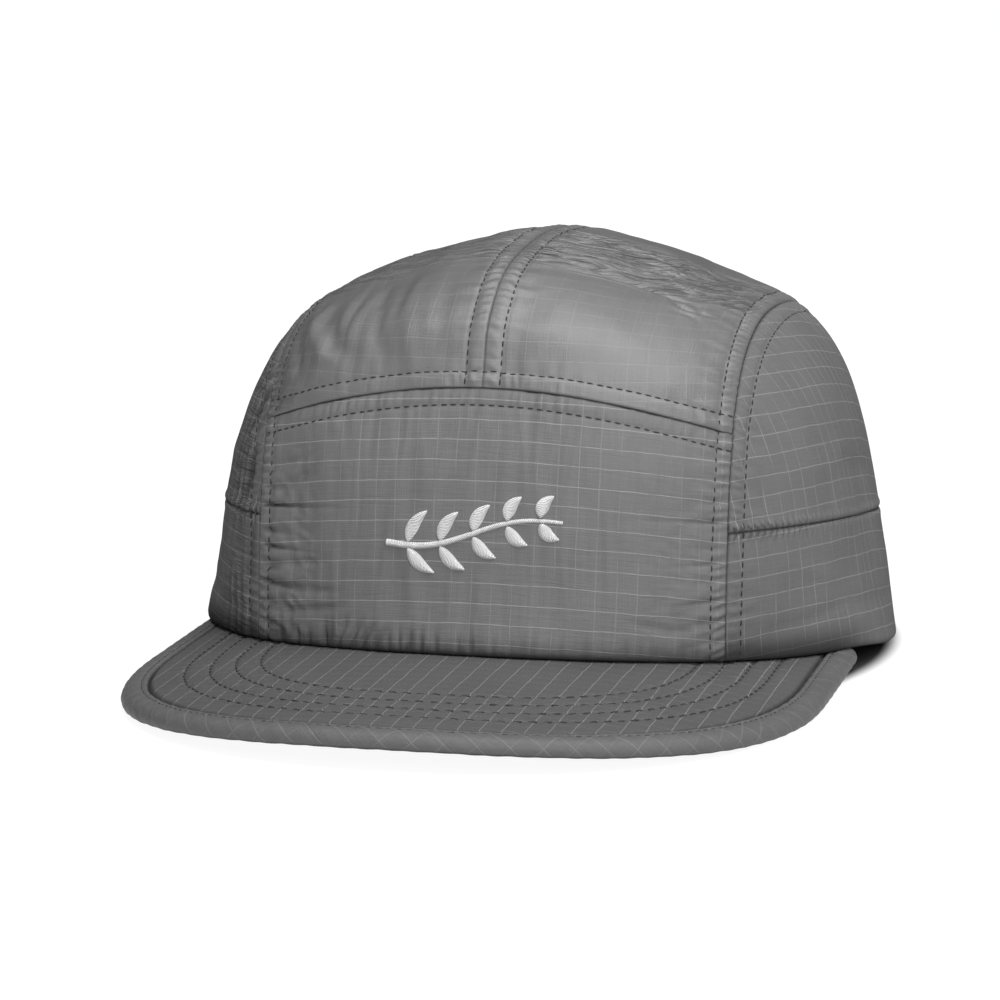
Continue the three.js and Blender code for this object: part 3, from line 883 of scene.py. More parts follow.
# %% Make the brim
brim_row_count = 4
brim_stitch_pitch = 3.4
row_start_side, row_start_front = 8.0, 10.0
row_pitch_side, row_pitch_front = 5.7, 7.0
groove_inset = binding_width + 0.15


def row_insets(index):
    return (
        groove_inset + row_start_side + index * row_pitch_side,
        groove_inset + row_start_front + index * row_pitch_front,
    )


def distance_to_row(x, y, side_inset, front_inset):
    """Signed distance from a point of the brim to one stitch row."""
    across = brim_half_width - side_inset
    reach = brim_corner_y - brim_front_y - front_inset
    a = np.maximum(np.abs(x) / across, 1e-6)
    b = np.maximum((brim_corner_y - y) / reach, 0)
    n = brim_squareness
    size = (a**n + b**n) ** (1 / n)
    slope_x = (a / size) ** (n - 1) / across
    slope_y = (b / size) ** (n - 1) / reach
    return (size - 1) / np.hypot(slope_x, slope_y)


def brim_inner_edge(run):
    turn = math.pi * run
    x = crown_x(np.full(np.shape(run), brim_end_y), brim_thickness) * np.cos(turn)
    y = crown_y(x, rim_height_front(x), True)
    tuck = mix(brim_tuck, brim_end_tuck, np.cos(turn) ** 4)
    share = 1 - tuck / np.hypot(x, y)
    return x * share, y * share


def make_brim():
    run, share = np.meshgrid(even_steps(345, 1.2), even_steps(58, 0.66))
    inner_x, inner_y = brim_inner_edge(run)
    outer_x, outer_y = brim_outline(run, groove_inset - 0.5)
    x, y = mix(inner_x, outer_x, share), mix(inner_y, outer_y, share)
    flat = np.stack((x, y, brim_top(x, y)), axis=-1)
    normals = outward(flat)
    to_groove = distance_to_row(x, y, groove_inset, groove_inset)
    length = running_length(flat, 1)
    lift = -0.9 * bell(to_groove, 0, 0.7) + 0.10 * waves(x / 16, y / 22, 31)
    for index in range(brim_row_count):
        away = distance_to_row(x, y, *row_insets(index))
        lift += -0.30 * bell(away, 0, 0.60) + 0.05 * bell(np.abs(away), 2.0, 1.4)
        puckers = 0.20 * np.sin(2 * math.pi * length / brim_stitch_pitch + index)
        lift += puckers * bell(np.abs(away), 1.3, 1.0)
    pattern = np.stack((x, y), axis=-1)
    # Painted shade in the groove where the binding starts.
    shade = bell(to_groove, 0, 0.8)
    return sheet("brim_cloth", flat + normals * lift[..., None], pattern, shade, 0.0, brim_thickness - 0.3)


brim = make_brim()
print("brim quads:", len(brim.data.polygons))

# %% [markdown]
# ## Binding
# A strip cut on the bias is folded round the brim's edge. On the bias, cloth stretches round
# the corners without pleats. It is a soft roll with one stitch line near its inner edge. A
# grid is wrapped round a closed section, joined where its sides meet, and closed at both ends.

# %% Make the binding
binding_stitch_inset = 4.7
# Inset from the edge and height over the brim's middle, both as shares of half the thickness
binding_profile = (
    (2.86, -0.80), (2.90, 0.0), (2.88, 0.78), (2.78, 0.97), (2.60, 1.05), (2.42, 1.05),
    (2.24, 0.93), (2.06, 1.02), (1.80, 1.08), (1.40, 1.10), (1.00, 1.05), (0.62, 0.93),
    (0.30, 0.70), (0.09, 0.38), (0.0, 0.0), (0.09, -0.38), (0.30, -0.70), (0.62, -0.90),
    (1.00, -0.97), (1.60, -0.99), (2.30, -0.99), (2.70, -0.96),
)


def make_binding():
    half = brim_thickness / 2
    profile = np.array(binding_profile + binding_profile[:1]) * half
    runs = even_steps(360, 0.9)
    turns = np.concatenate(([0], np.cumsum(np.hypot(*np.diff(profile, axis=0).T))))
    fine = np.linspace(0, turns[-1], 45)
    inset, height = (np.interp(fine, turns, profile[:, k]) for k in (0, 1))
    rings = []
    for inset_here, height_here in zip(inset, height):
        x, y = brim_outline(runs, inset_here)
        rings.append(np.stack((x, y, brim_top(x, y) - half + height_here), axis=-1))
    points = np.stack(rings)
    length = running_length(points[len(rings) // 2:len(rings) // 2 + 1], 1)
    length = np.repeat(length, len(rings), axis=0)
    around = np.repeat(fine[:, None], len(runs), axis=1)
    ripple = 0.10 * waves(length / 6, around / 9, 41) + 0.05 * np.sin(length * 1.1 + around)
    centre = np.stack((*brim_outline(runs, half * 1.4), np.zeros(len(runs))), axis=-1)
    centre[:, 2] = brim_top(centre[:, 0], centre[:, 1]) - half
    spoke = points - centre
    spoke /= np.linalg.norm(spoke, axis=2, keepdims=True)
    soft = np.where(np.abs(height)[:, None] < 0.95 * half * 1.2, 1, 0) * ripple
    points = points + spoke * soft[..., None]
    # Painted shade on the binding's underside, darker towards the floor.
    underside_shade = np.broadcast_to(ease((-height[:, None] / half - 0.45) / 0.4), points.shape[:2])
    pattern = np.stack((length, around), axis=-1)
    obj = sheet("brim_binding_cloth", points[:, ::-1], pattern[:, ::-1], underside_shade, thickness=0)
    bm = bmesh.new()
    bm.from_mesh(obj.data)
    bmesh.ops.remove_doubles(bm, verts=bm.verts, dist=0.00002)
    ends = [edge for edge in bm.edges if edge.is_boundary]
    bmesh.ops.holes_fill(bm, edges=ends, sides=0)
    bmesh.ops.recalc_face_normals(bm, faces=bm.faces)
    for face in bm.faces:
        face.smooth = len(face.verts) < 5
    bm.to_mesh(obj.data)
    bm.free()
    return obj


binding = make_binding()
print("binding quads:", len(binding.data.polygons))

# %% [markdown]
# ## Strap and clasp
# The opening behind is closed by a strap of flat webbing that runs inside the crown, with a
# plain moulded slider. The photograph doesn't show them, so they are kept plain.

# %% Make the strap and the clasp
strap_width, strap_half_length, strap_lift, strap_thickness = 18.0, 52.0, 3.0, 1.6
panel_wall, strap_gap = 1.6, 0.7
strap_depth = panel_wall + strap_gap
webbing_rib_pitch, webbing_pick_pitch = 1.5, 0.9
clasp_length, clasp_wall, clasp_clearance = 26.0, 1.5, 0.3


def back_surface(x, z, depth):
    """A point under the crown's back, at a depth along the level normal."""
    y = crown_y(x, z, False)
    ahead = crown_y(x + 0.5, z, False)
    lean = np.arctan2(ahead - y, 0.5)
    return np.stack((x + depth * np.sin(lean), y - depth * np.cos(lean), z), axis=-1)


def make_strap():
    u, v = np.meshgrid(even_steps(2 * strap_half_length, 0.8), even_steps(strap_width, 0.5))
    x = strap_half_length * (1 - 2 * u)
    z = strap_lift + strap_width * v
    edge = np.minimum(v, 1 - v) * strap_width
    rounding = 0.35 * bell(edge, 0, 0.5)
    ribs = 0.05 * np.cos(2 * math.pi * z / webbing_rib_pitch)
    points = back_surface(x, z, strap_depth + rounding - ribs)
    pattern = np.stack((x, z), axis=-1)
    return sheet("back_strap_webbing", points, pattern, thickness=strap_thickness - 0.3)


def make_clasp():
    """A bevelled block bent to the strap's curve, with a slot sunk into each end."""
    depth = strap_thickness + 2 * (clasp_clearance + clasp_wall)
    height = strap_width + 2 * (clasp_clearance + clasp_wall)
    bm = bmesh.new()
    bmesh.ops.create_cube(bm, size=1)
    bmesh.ops.scale(bm, vec=(clasp_length, depth, height), verts=bm.verts)
    lengthways = [e for e in bm.edges if abs((e.verts[0].co - e.verts[1].co).x) > 1]
    bmesh.ops.subdivide_edges(bm, edges=lengthways, cuts=9, use_grid_fill=True)
    ends = [f for f in bm.faces if abs(f.normal.x) > 0.9]
    bmesh.ops.inset_individual(bm, faces=ends, thickness=clasp_wall, use_even_offset=True)
    for face in ends:
        bmesh.ops.translate(bm, vec=-3 * face.normal, verts=face.verts)
    back = [f for f in bm.faces if f.normal.y > 0.9 and abs(f.calc_center_median().x) < clasp_length * 0.3]
    bmesh.ops.inset_region(bm, faces=back, thickness=2.2, depth=-0.5)
    sharp = [e for e in bm.edges if len(e.link_faces) == 2 and e.calc_face_angle() > 0.5]
    bmesh.ops.bevel(bm, geom=sharp, offset=0.45, segments=2, profile=0.5, affect="EDGES", material=-1)
    middle_z = strap_lift + strap_width / 2
    for vert in bm.verts:
        depth_here = strap_depth + strap_thickness / 2 - vert.co.y
        place = back_surface(vert.co.x, middle_z + vert.co.z, depth_here)
        vert.co = Vector(in_model(place))
    bmesh.ops.recalc_face_normals(bm, faces=bm.faces)
    mesh = bpy.data.meshes.new("strap_clasp_moulded")
    bm.to_mesh(mesh)
    bm.free()
    return new_object("strap_clasp_moulded", mesh)


strap = make_strap()
clasp = make_clasp()
print("clasp faces:", len(clasp.data.polygons))

# %% [markdown]
# ## Stitches
# Every stitch is a small dash of thread that sinks into the cloth at both ends. A path is
# drawn on the smooth form, each stitch is dropped on the nearest cloth, and one small sphere
# is stretched along the path to stand for it.

# %% Lay stitches along paths
stitches_per_batch = 40


def search_tree(objects):
    bm = bmesh.new()
    for obj in objects:
        bm.from_mesh(obj.data)
    tree = BVHTree.FromBMesh(bm)
    bm.free()
    return tree


def spaced_places(path, pitch):
    """Places along a path at even spacing, with the direction there."""
    length = np.concatenate(([0], np.cumsum(np.linalg.norm(np.diff(path, axis=0), axis=1))))
    here = np.arange(pitch / 2, length[-1], pitch)
    at = lambda s: np.stack([np.interp(s, length, path[:, k]) for k in range(3)], axis=-1)
    return at(here), at(here + 0.3) - at(here - 0.3)


def add_stitch(bm, tree, place, direction, size):
    """Drops one stretched sphere on the cloth. Its size is length, width and height."""
    spot, normal, _, _ = tree.find_nearest(Vector(in_model(place)))
    forward = Vector(direction)
    forward = (forward - normal * forward.dot(normal)).normalized()
    length, width, height = (side * MILLIMETRE for side in size)
    axes = Matrix((forward * length, normal.cross(forward) * width, normal * height)).transposed()
    matrix = Matrix.Translation(spot) @ axes.to_4x4()
    bmesh.ops.create_uvsphere(bm, u_segments=6, v_segments=4, radius=0.5, matrix=matrix)


def lay_stitches(name, paths, tree, size=(1.7, 0.44, 0.34), pitch=stitch_pitch):
    """All the stitches of some paths in one object. Small batches keep the mesh code quick."""
    places = [place for path in paths for place in zip(*spaced_places(path, pitch))]
    whole = bmesh.new()
    mesh = bpy.data.meshes.new(name)
    for start in range(0, len(places), stitches_per_batch):
        batch = bmesh.new()
        for place, direction in places[start:start + stitches_per_batch]:
            add_stitch(batch, tree, place, direction, size)
        batch.to_mesh(mesh)
        batch.free()
        whole.from_mesh(mesh)
    whole.to_mesh(mesh)
    whole.free()
    return new_object(name, mesh)


crown_objects = [front_panel, top_right, top_left, *side_panels.values()]
crown_tree = search_tree(crown_objects)
brim_tree = search_tree([brim])
binding_tree = search_tree([binding])

# %% [markdown]
# ## Rows beside the seams
# A row of stitches keeps a steady distance to its seam, measured over the cloth. The crown
# slopes, so a row's place across is worked out from the slope at each point of it.

# %% Paths of the seams' stitch rows
def over_head(x_of_slope, start_z, end_z, start_x):
    """A path over the head at an X that may change with the slope of the crown."""
    start = float(angle_of(crown_y(start_x, start_z, True), start_z))
    end = float(angle_of(crown_y(start_x, end_z, False), end_z))
    angles = np.linspace(start, end, 300)
    return crown_on_ray(x_of_slope(angles), angles)


def beside_seam(seam_place, offset, start_z, end_z):
    """A row beside a seam that keeps to one X, at a distance over the cloth."""
    def x_of_angle(angles):
        here = crown_on_ray(seam_place, angles)
        across = crown_on_ray(seam_place + 0.5, angles) - crown_on_ray(seam_place - 0.5, angles)
        along = np.gradient(here, axis=0)
        normal = np.cross(across, along)
        normal /= np.linalg.norm(normal, axis=1, keepdims=True)
        return seam_place + offset * np.sqrt(np.maximum(0.05, 1 - normal[:, 0] ** 2))
    return over_head(x_of_angle, start_z, end_z, seam_place + offset * 0.7)


def beside_front_seam(offset, half_width):
    x = np.linspace(-half_width, half_width, 200)
    z = front_seam_height(x) + offset * 0.9
    return np.stack((x, crown_y(x, z, True), z), axis=-1)


def flipped(path):
    return path * (-1, 1, 1)


long_rows = [beside_seam(seam_half_width, offset, 9.0, 2.5) for offset in (-stitch_offset, stitch_offset)]
long_rows += [flipped(path) for path in long_rows]
middle_start = front_seam_middle + 0.4
middle_rows = [beside_seam(0.0, stitch_offset, middle_start, back_opening_height + 2.5)]
middle_rows += [flipped(path) for path in middle_rows]
front_rows = [beside_front_seam(offset, seam_half_width - 0.5) for offset in (-stitch_offset, stitch_offset)]
seam_stitches = lay_stitches("seam_stitches", long_rows + middle_rows + front_rows, crown_tree)
print("seam stitch faces:", len(seam_stitches.data.polygons))

# %% [markdown]
# ## Rows on the brim
# The brim's four rows follow its outline and end a little way under the crown. Thick layers
# are sewn with a longer stitch, and the binding with a short fine one.

# %% Stitches of the brim and its binding
hidden_row_end = 3.0
widest_x, crown_edge_z = 86.0, 4.0


def on_brim(inset_pair):
    x, y = brim_outline(np.linspace(0, 1, 400), *inset_pair)
    crown_edge = crown_y(np.clip(x, -widest_x, widest_x), crown_edge_z, True)
    outside = y < crown_edge + hidden_row_end
    return np.stack((x, y, brim_top(x, y)), axis=-1)[outside]


brim_paths = [on_brim(row_insets(index)) for index in range(brim_row_count)]
brim_stitches = lay_stitches("brim_stitches", brim_paths, brim_tree, (2.3, 0.75, 0.60), brim_stitch_pitch)
binding_path = on_brim((binding_stitch_inset, binding_stitch_inset))
binding_stitches = lay_stitches("binding_stitches", [binding_path], binding_tree, (1.5, 0.3, 0.3))
print("brim stitch faces:", len(brim_stitches.data.polygons))

# %% [markdown]
# ## Embroidered sprig
# A small sprig in white satin stitch sits in the middle of the front panel. Each stroke is a
# padded strip with a rounded section, and fine ribs across it stand for the single threads.

# %% Make the sprig
sprig_centre_z = 39.0
sprig_half_length = 21.0
satin_height = 0.90
satin_pitch = 0.42
satin_slant = 0.6
leaf_pairs = 5


def satin_stroke(bm, strand, path, widths):
    """Adds one padded strip along a path of X and height on the front panel.

    The strand layer keeps how far along the stroke each thread lies, slanted across it.
    """
    length = np.concatenate(([0], np.cumsum(np.hypot(*np.diff(path, axis=0).T))))
    count = max(4, int(length[-1] / (satin_pitch / 2)))
    here = np.linspace(0, length[-1], count)
    x, z = (np.interp(here, length, path[:, k]) for k in (0, 1))
    half = np.interp(here, length, widths) / 2
    tangent = np.stack((np.gradient(x), np.gradient(z)), axis=-1)
    tangent /= np.linalg.norm(tangent, axis=1, keepdims=True)
    side = np.linspace(-1, 1, 7)
    rib = 1 + 0.08 * np.cos(math.pi * np.arange(count))
    plan_x = x[:, None] - tangent[:, 1:] * half[:, None] * side
    plan_z = z[:, None] + tangent[:, :1] * half[:, None] * side
    raised = satin_height * np.sqrt(1 - side**2)[None] * np.minimum(1, half / 0.7)[:, None] * rib[:, None]
    flat = bmesh.ops.create_grid(bm, x_segments=len(side) - 1, y_segments=count - 1, size=1)["verts"]
    for vert in flat:
        col = round((vert.co.x + 1) / 2 * (len(side) - 1))
        row = round((vert.co.y + 1) / 2 * (count - 1))
        px, pz = plan_x[row, col], plan_z[row, col]
        guess = Vector(in_model((px, float(crown_y(px, pz, True)), pz)))
        spot, normal, _, _ = crown_tree.find_nearest(guess)
        vert.co = spot + normal * float(raised[row, col] - 0.12) * MILLIMETRE
        vert[strand] = float(here[row] + satin_slant * half[row] * side[col])


def make_sprig():
    bm = bmesh.new()
    strand = bm.verts.layers.float.new("strand")
    t = np.linspace(-1, 1, 60)
    stem_x = sprig_half_length * t
    stem_z = sprig_centre_z + 3.0 * t + 1.6 * np.sin(math.pi * t)
    satin_stroke(bm, strand, np.stack((stem_x, stem_z), axis=-1), np.interp(t, (-1, 1), (1.7, 0.9)))
    for index in range(leaf_pairs):
        share = -0.78 + 1.5 * index / (leaf_pairs - 1)
        root = np.array((np.interp(share, t, stem_x), np.interp(share, t, stem_z)))
        reach = 8.6 - 0.7 * index
        for turn in (58, -40):
            heading = math.radians(turn)
            s = np.linspace(0, 1, 24)
            bend = 0.9 * np.sin(math.pi * s) * (1 if turn > 0 else -1)
            along = 0.9 + reach * s
            x = root[0] + along * math.cos(heading) - bend * math.sin(heading)
            z = root[1] + along * math.sin(heading) + bend * math.cos(heading)
            width = 0.35 + 2.9 * np.sin(math.pi * s**0.8) ** 0.9
            satin_stroke(bm, strand, np.stack((x, z), axis=-1), width)
    bmesh.ops.recalc_face_normals(bm, faces=bm.faces)
    mesh = bpy.data.meshes.new("embroidered_sprig")
    bm.to_mesh(mesh)
    bm.free()
    return new_object("embroidered_sprig", mesh)


sprig = make_sprig()
print("sprig faces:", len(sprig.data.polygons))

# %% [markdown]
# ## Shader maths in Python
# A shader is easier to read as an expression than as a tangle of node calls. This small class
# wraps one socket. Arithmetic on it adds Math nodes, and its add method adds any other node.

# %% Wrap a socket
class Wire:
    """A socket that Python arithmetic can use."""

    def __init__(self, tree, socket=None):
        self.tree = tree
        self.socket = socket

    def add(self, kind, settings=None, inputs=None, output=0):
        """Adds a node, sets it up, then feeds its sockets with values or wires."""
        node = self.tree.nodes.new(kind)
        for key, value in (settings or {}).items():
            if key == "stops":
                for element, (position, colour) in zip(node.color_ramp.elements, value):
                    element.position, element.color = position, colour
            else:
                setattr(node, key, value)
        for key, value in (inputs or {}).items():
            if isinstance(value, Wire):
                self.tree.links.new(value.socket, node.inputs[key])
            else:
                node.inputs[key].default_value = value
        return Wire(self.tree, node.outputs[output])

    def out(self, name):
        return Wire(self.tree, self.socket.node.outputs[name])

    def math(self, operation, *values):
        return self.add("ShaderNodeMath", {"operation": operation}, dict(enumerate((self, *values))))

    def __add__(self, other):
        return self.math("ADD", other)

    __radd__ = __add__

    def __mul__(self, other):
        return self.math("MULTIPLY", other)

    __rmul__ = __mul__

    def __sub__(self, other):
        return self.math("SUBTRACT", other)

    def __rsub__(self, other):
        return (self * -1) + other

    def __truediv__(self, other):
        return self.math("DIVIDE", other)


def soft_step(value, start, end):
    """A smooth change from 0 at start to 1 at end."""
    limits = {"Value": value, "From Min": start, "From Max": end}
    return value.add("ShaderNodeMapRange", {"interpolation_type": "SMOOTHSTEP"}, limits)


def blend(share, first, second):
    """Mixes two colours."""
    return share.add("ShaderNodeMix", {"data_type": "RGBA"}, {0: share, 6: first, 7: second}, output=2)


def grey(value):
    return (value, value, value, 1)


def new_material(name):
    material = bpy.data.materials.new(name)
    material.use_nodes = True
    nodes = material.node_tree.nodes
    shader = next(node for node in nodes if node.type == "BSDF_PRINCIPLED")
    return material, Wire(material.node_tree), shader


def feed(shader, start, **inputs):
    """Sets or links the named sockets of a shader. An underscore stands for a space."""
    for key, value in inputs.items():
        socket = shader.inputs[key.replace("_", " ")]
        if isinstance(value, Wire):
            start.tree.links.new(value.socket, socket)
        else:
            socket.default_value = value


def cloud(start, place, scale, detail, **more):
    """Soft noise, 0.5 on average."""
    return start.add("ShaderNodeTexNoise", None, {"Vector": place, "Scale": scale, "Detail": detail, **more})


def relief(start, height, strength, distance):
    values = {"Strength": strength, "Distance": distance, "Height": height}
    return start.add("ShaderNodeBump", None, values)


def stretched(start, place, factors):
    return start.add("ShaderNodeVectorMath", {"operation": "MULTIPLY"}, {0: place, 1: factors})


def attribute(start, name):
    return start.add("ShaderNodeAttribute", {"attribute_name": name}, output=2)


def object_place(start):
    return start.add("ShaderNodeTexCoord", None, None, output="Object")


def cloth_place(start):
    return start.add("ShaderNodeUVMap", {"uv_map": "cloth"})


# %% [markdown]
# ## Ripstop cloth
# Ripstop has a thicker thread every 5 mm each way, a little lighter than the fine weave between them. The
# weave itself shows as faint streaks along both threads. Where the piece's own seam attribute says so,
# painted shade darkens the colour at the bottom of seams, tucks, hems and creases. A second attribute says
# where the cloth has fine wrinkles, which get bumps with a painted highlight on their crests and painted
# shade between them, and the colour varies a little over each panel. One function makes the finishes of the
# front, top, sides, brim and binding: the top has the most sheen, and the brim shows its threads mostly one
# way.

# %% Make the ripstop materials
def ripstop(
    name, base, line_tone, pitches, slant=0.0, strengths=(0.35, 0.80),
    roughness=0.50, shine=0.12, patches=(0.36, 0.62),
):
    material, start, shader = new_material(name)
    uv = cloth_place(start)
    if slant:
        uv = start.add("ShaderNodeVectorRotate", {"rotation_type": "Z_AXIS"}, {"Vector": uv, "Angle": slant})
    across = start.add("ShaderNodeSeparateXYZ", None, {"Vector": uv})
    along = across.out("Y")
    drift = cloud(start, uv, 0.12, 1.0)
    lines = None
    # Coordinate, pitch and strength of the lines; scale of their patches, and where they show
    line_kinds = (
        (across, pitches[0], strengths[0], 0.06, *patches),
        (along, pitches[1], strengths[1], 0.30, 0.18, 0.46),
    )
    for coordinate, pitch, strength, patch_size, bare, full in line_kinds:
        wandering = coordinate + (drift - 0.5) * 0.6
        cell = (wandering / pitch).math("FRACT") - 0.5
        near = (0.5 - cell.math("ABSOLUTE")) * pitch
        patchy = cloud(start, uv, patch_size, 2.0)
        line = soft_step(near, 0.19, 0.04) * soft_step(patchy, bare, full) * strength
        lines = line if lines is None else lines.math("MAXIMUM", line)
    streaks = None
    for stretch in ((3.2, 0.10, 1.0), (0.10, 3.2, 1.0)):
        streak = cloud(start, stretched(start, uv, stretch), 1.0, 3.0)
        streaks = streak if streaks is None else streaks + streak
    streaks = (streaks - 1.0) * 1.6
    fine = cloud(start, uv, 1.6, 3.0)
    tone = cloud(start, uv, 0.045, 2.0)
    seam = attribute(start, "seam")
    wrinkle = attribute(start, "wrinkle")
    folded = cloud(start, stretched(start, uv, (0.05, 0.40, 1.0)), 1.0, 3.0, Distortion=0.8)
    crests = 1.0 - (folded - 0.5).math("ABSOLUTE") * 4.0
    light = (tone - 0.5) * 0.45 + streaks * 0.32 + (fine - 0.5) * 0.24 + 0.5
    # Painted highlight on the wrinkles' crests and painted shade between them.
    light = light + (crests - 0.75) * wrinkle * 1.5
    cloth = blend(light, grey(base * 0.80), grey(base * 1.20))
    threaded = blend(lines * 0.8, cloth, grey(line_tone))
    # Painted shade: the seam attribute darkens the colour where little light reaches.
    colour = blend(seam * 0.85, threaded, grey(base * 0.15))
    height = lines * 0.08 + streaks * 0.05 + (fine - 0.5) * 0.05 + crests * wrinkle * 2.0
    bump = relief(start, height, 0.8, MILLIMETRE)
    rough = (fine - 0.5) * 0.12 + (tone - 0.5) * 0.25 + lines * 0.10 + roughness
    feed(shader, start, Base_Color=colour, Roughness=rough, Normal=bump, Specular_IOR_Level=shine)
    return material


grid = (4.85, 4.76)
bias = math.pi / 4
crown_cloth = ripstop("crown_ripstop", 0.104, 0.24, grid, strengths=(0.35, 0.68))
top_cloth = ripstop("top_ripstop", 0.100, 0.20, grid, strengths=(0.28, 0.32), roughness=0.40, shine=0.37)
side_cloth = ripstop("side_ripstop", 0.100, 0.21, grid, strengths=(0.80, 0.70), shine=0.0)
# The brim's cloth gets a darker base than the crown's. This is painted shade, so that the up-facing brim
# stays dark under the overhead light.
brim_cloth = ripstop("brim_ripstop", 0.066, 0.17, grid[::-1], strengths=(0.9, 0.35), patches=(0.1, 0.3))
binding_cloth = ripstop("binding_bias_ripstop", 0.080, 0.17, (5.0, 5.0), bias, strengths=(0.5, 0.5))
print("cloth nodes:", len(crown_cloth.node_tree.nodes))

# %% [markdown]
# ## Thread, webbing and moulded plastic
# Sewing thread is darker than the cloth and matt. The embroidery thread is white with a soft shine, and its
# strands get a painted highlight along each ridge and painted shade between them. The webbing has ribs along
# it and a fine weave across.

# %% Make the small materials
def thread(name, colour, roughness):
    material, start, shader = new_material(name)
    place = object_place(start)
    twist = cloud(start, place, 3000.0, 2.0)
    tint = blend(twist, grey(colour * 0.75), grey(colour * 1.2))
    bump = relief(start, twist, 0.3, 0.0002)
    feed(shader, start, Base_Color=tint, Roughness=roughness, Normal=bump, Specular_IOR_Level=0.3)
    return material


def satin_thread(name, colour):
    """Embroidery thread: the strands lie side by side across each stroke."""
    material, start, shader = new_material(name)
    strand = attribute(start, "strand")
    place = object_place(start)
    uneven = cloud(start, place, 900.0, 2.0)
    ridge = (strand * (2 * math.pi / satin_pitch) + uneven * 3.0).math("SINE") * 0.5 + 0.5
    # Painted highlight on each strand's ridge and painted shade in the gaps between strands.
    tint = blend(ridge, grey(colour * 0.70), grey(colour * 1.1))
    height = ridge * 0.8 + uneven * 0.3
    bump = relief(start, height, 0.8, 0.0003)
    feed(shader, start, Base_Color=tint, Roughness=0.5, Normal=bump, Specular_IOR_Level=0.4)
    return material


def webbing(name, colour):
    material, start, shader = new_material(name)
    uv = cloth_place(start)
    across = start.add("ShaderNodeSeparateXYZ", None, {"Vector": uv})
    ribs = (across.out("Y") * (2 * math.pi / webbing_rib_pitch)).math("SINE")
    picks = (across * (2 * math.pi / webbing_pick_pitch)).math("SINE")
    weave = (ribs * picks) * 0.5 + 0.5
    fine = cloud(start, uv, 3.0, 3.0)
    tint = blend(weave * 0.5 + fine * 0.5, grey(colour * 0.6), grey(colour * 1.5))
    bump = relief(start, weave, 0.7, 0.0003)
    feed(shader, start, Base_Color=tint, Roughness=0.78, Normal=bump, Sheen_Weight=0.3)
    return material


def moulded(name, colour):
    material, start, shader = new_material(name)
    place = object_place(start)
    grain = cloud(start, place, 1800.0, 3.0)
    wear = cloud(start, place, 120.0, 4.0)
    tint = blend(wear, grey(colour * 0.8), grey(colour * 1.3))
    bump = relief(start, grain, 0.25, 0.0002)
    feed(shader, start, Base_Color=tint, Roughness=wear * 0.2 + 0.38, Normal=bump)
    return material


dark_thread = thread("dark_sewing_thread", 0.018, 0.75)
white_thread = satin_thread("white_embroidery_thread", 0.58)
strap_webbing = webbing("dark_webbing", 0.045)
clasp_plastic = moulded("dark_moulded_plastic", 0.02)
print("materials so far:", len(bpy.data.materials))

# %% [markdown]
# ## Put each piece on its part
# Every piece gets its finish from the table and rides on the cap's one body, and where it replaces a node of
# the model, that node is hidden. In the table, stitches and embroidery are listed under the slot of the
# cloth they are in.

# %% Finish, ride and replace
pieces = (
    (front_panel, crown_cloth, "crown_cloth", "front_panel"),
    (top_right, top_cloth, "crown_cloth", "top_panel_right"),
    (top_left, top_cloth, "crown_cloth", "top_panel_left"),
    (side_panels["side_upper_right"], side_cloth, "crown_cloth", "side_upper_right"),
    (side_panels["side_upper_left"], side_cloth, "crown_cloth", "side_upper_left"),
    (side_panels["side_lower_right"], side_cloth, "crown_cloth", "side_lower_right"),
    (side_panels["side_lower_left"], side_cloth, "crown_cloth", "side_lower_left"),
    (brim, brim_cloth, "brim_cloth", "brim"),
    (binding, binding_cloth, "binding_cloth", "brim_binding"),
    (strap, strap_webbing, "strap_webbing", "back_strap"),
    (clasp, clasp_plastic, "clasp_plastic", "strap_clasp"),
    (seam_stitches, dark_thread, "crown_cloth", None),
    (brim_stitches, dark_thread, "brim_cloth", None),
    (binding_stitches, dark_thread, "binding_cloth", None),
    (sprig, white_thread, "crown_cloth", None),
)
for piece, material, slot, node in pieces:
    piece.data.materials.append(material)
    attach(piece, "root")
    if node:
        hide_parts(node)
print("pieces:", len(pieces))

# %% [markdown]
# ## Camera
# The camera stands where the photograph was taken from: a little to the right of the front,
# just above the brim, with a long lens that keeps the perspective flat.

# %% Place the camera
view_azimuth = math.radians(13.813)
view_elevation = math.radians(9.429)
view_distance = 1000.0
view_right, view_height = -16.23, 31.75
# The view was measured from a point this far behind the model's middle
view_shift = frame_shift + 16.83
lens_length = 140.86

right = np.array((math.cos(view_azimuth), math.sin(view_azimuth), 0))
ahead = np.array((
    -math.sin(view_azimuth) * math.cos(view_elevation),
    math.cos(view_azimuth) * math.cos(view_elevation),
    -math.sin(view_elevation),
))
eye = right * view_right + (0, view_shift, view_height) - ahead * view_distance
camera = bpy.data.objects.new("camera", bpy.data.cameras.new("camera"))
camera.data.lens = lens_length
camera.data.sensor_width = 36
camera.data.clip_start = 0.05
camera.location = eye * MILLIMETRE
camera.rotation_euler = (math.pi / 2 - view_elevation, 0, view_azimuth)
bpy.context.scene.collection.objects.link(camera)
bpy.context.scene.camera = camera
print("camera at, m:", np.round(eye * MILLIMETRE, 3))

# %% [markdown]
# ## Floor and light
# The photograph has a white ground, which could be a sheet of paper under strong lamps. Here the floor glows
# by itself, so that it is white however the lamps are set. An oval under the crown is a painted shadow:
# there the floor neither glows nor reflects much, as shade falls where little light gets in. A wide soft
# light overhead and a smaller one at the right front shape the cloth, and the sky is brighter on that side.

# %% Make the floor and the lights
shaded_oval = (0.0875, 0.100)
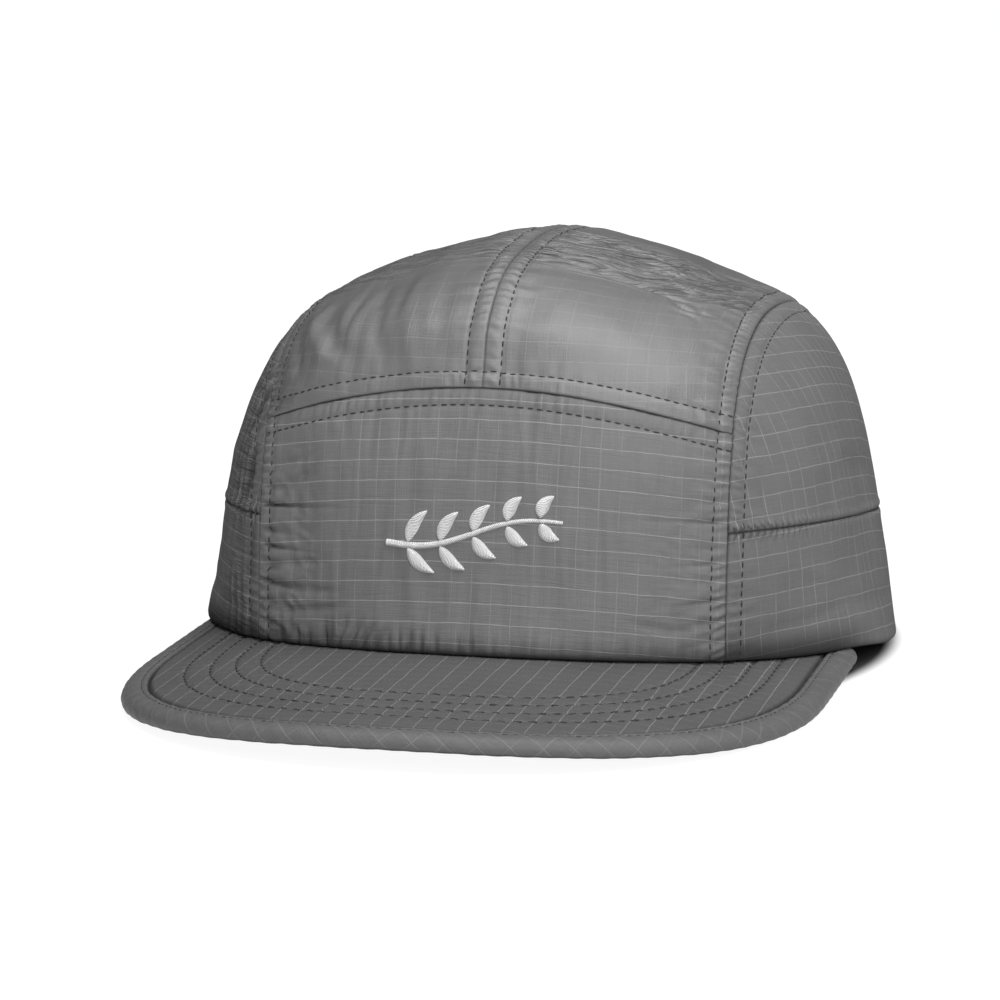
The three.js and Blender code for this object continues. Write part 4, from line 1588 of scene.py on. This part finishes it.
# Name, place, aim and size in metres, and power in watts
soft_lights = (
    ("overhead", (0.25, -0.22, 1.20), (0.02, -0.02, 0.05), 1.2, 26),
    ("right_front", (0.55, -1.45, 0.55), (0, 0, 0.05), 0.9, 21),
)
sky_bright_side = (0.66, -0.66, 0.36)


def make_floor():
    bm = bmesh.new()
    bmesh.ops.create_grid(bm, x_segments=1, y_segments=1, size=6)
    mesh = bpy.data.meshes.new("floor")
    bm.to_mesh(mesh)
    bm.free()
    obj = new_object("floor", mesh)
    material, start, shader = new_material("pale_floor")
    place = object_place(start)
    shifted = {0: place, 1: (0, -frame_shift * MILLIMETRE, 0)}
    centred = start.add("ShaderNodeVectorMath", {"operation": "ADD"}, shifted)
    scaled = stretched(start, centred, (1 / shaded_oval[0], 1 / shaded_oval[1], 0))
    away = start.add("ShaderNodeVectorMath", {"operation": "LENGTH"}, {0: scaled}, output="Value")
    # Painted shadow: inside the oval under the crown the floor gets no glow and a darker colour.
    outside = soft_step(away, 0.96, 1.03)
    glow = outside * 0.92 + soft_step(away, 2.0, 12.0) * 0.08
    glow_colour = blend(glow, grey(0.0), grey(1.0))
    floor_colour = blend(outside, grey(0.04), grey(0.12))
    feed(shader, start, Base_Color=floor_colour, Roughness=0.9, Specular_IOR_Level=0.0)
    feed(shader, start, Emission_Color=glow_colour, Emission_Strength=1.0)
    mesh.materials.append(material)


def soft_light(name, place, aim, size, power):
    light = bpy.data.objects.new(name, bpy.data.lights.new(name, "AREA"))
    light.data.size = size
    light.data.energy = power
    light.location = place
    light.rotation_euler = (Vector(aim) - Vector(place)).to_track_quat("-Z", "Y").to_euler()
    bpy.context.scene.collection.objects.link(light)


make_floor()
for light_values in soft_lights:
    soft_light(*light_values)
world = bpy.data.worlds.new("bright_room")
world.use_nodes = True
background = next(node for node in world.node_tree.nodes if node.type == "BACKGROUND")
start = Wire(world.node_tree)
direction = start.add("ShaderNodeTexCoord", None, None, output="Generated")
towards = {0: direction, 1: sky_bright_side}
facing = start.add("ShaderNodeVectorMath", {"operation": "DOT_PRODUCT"}, towards, output="Value")
brightness = soft_step(facing, -0.1, 1.0) * 0.45 + 0.05
world.node_tree.links.new(brightness.socket, background.inputs["Strength"])
background.inputs["Color"].default_value = grey(1.0)
bpy.context.scene.world = world
bpy.context.scene.view_settings.view_transform = "Standard"
print("lights:", [name for name, *_ in soft_lights])
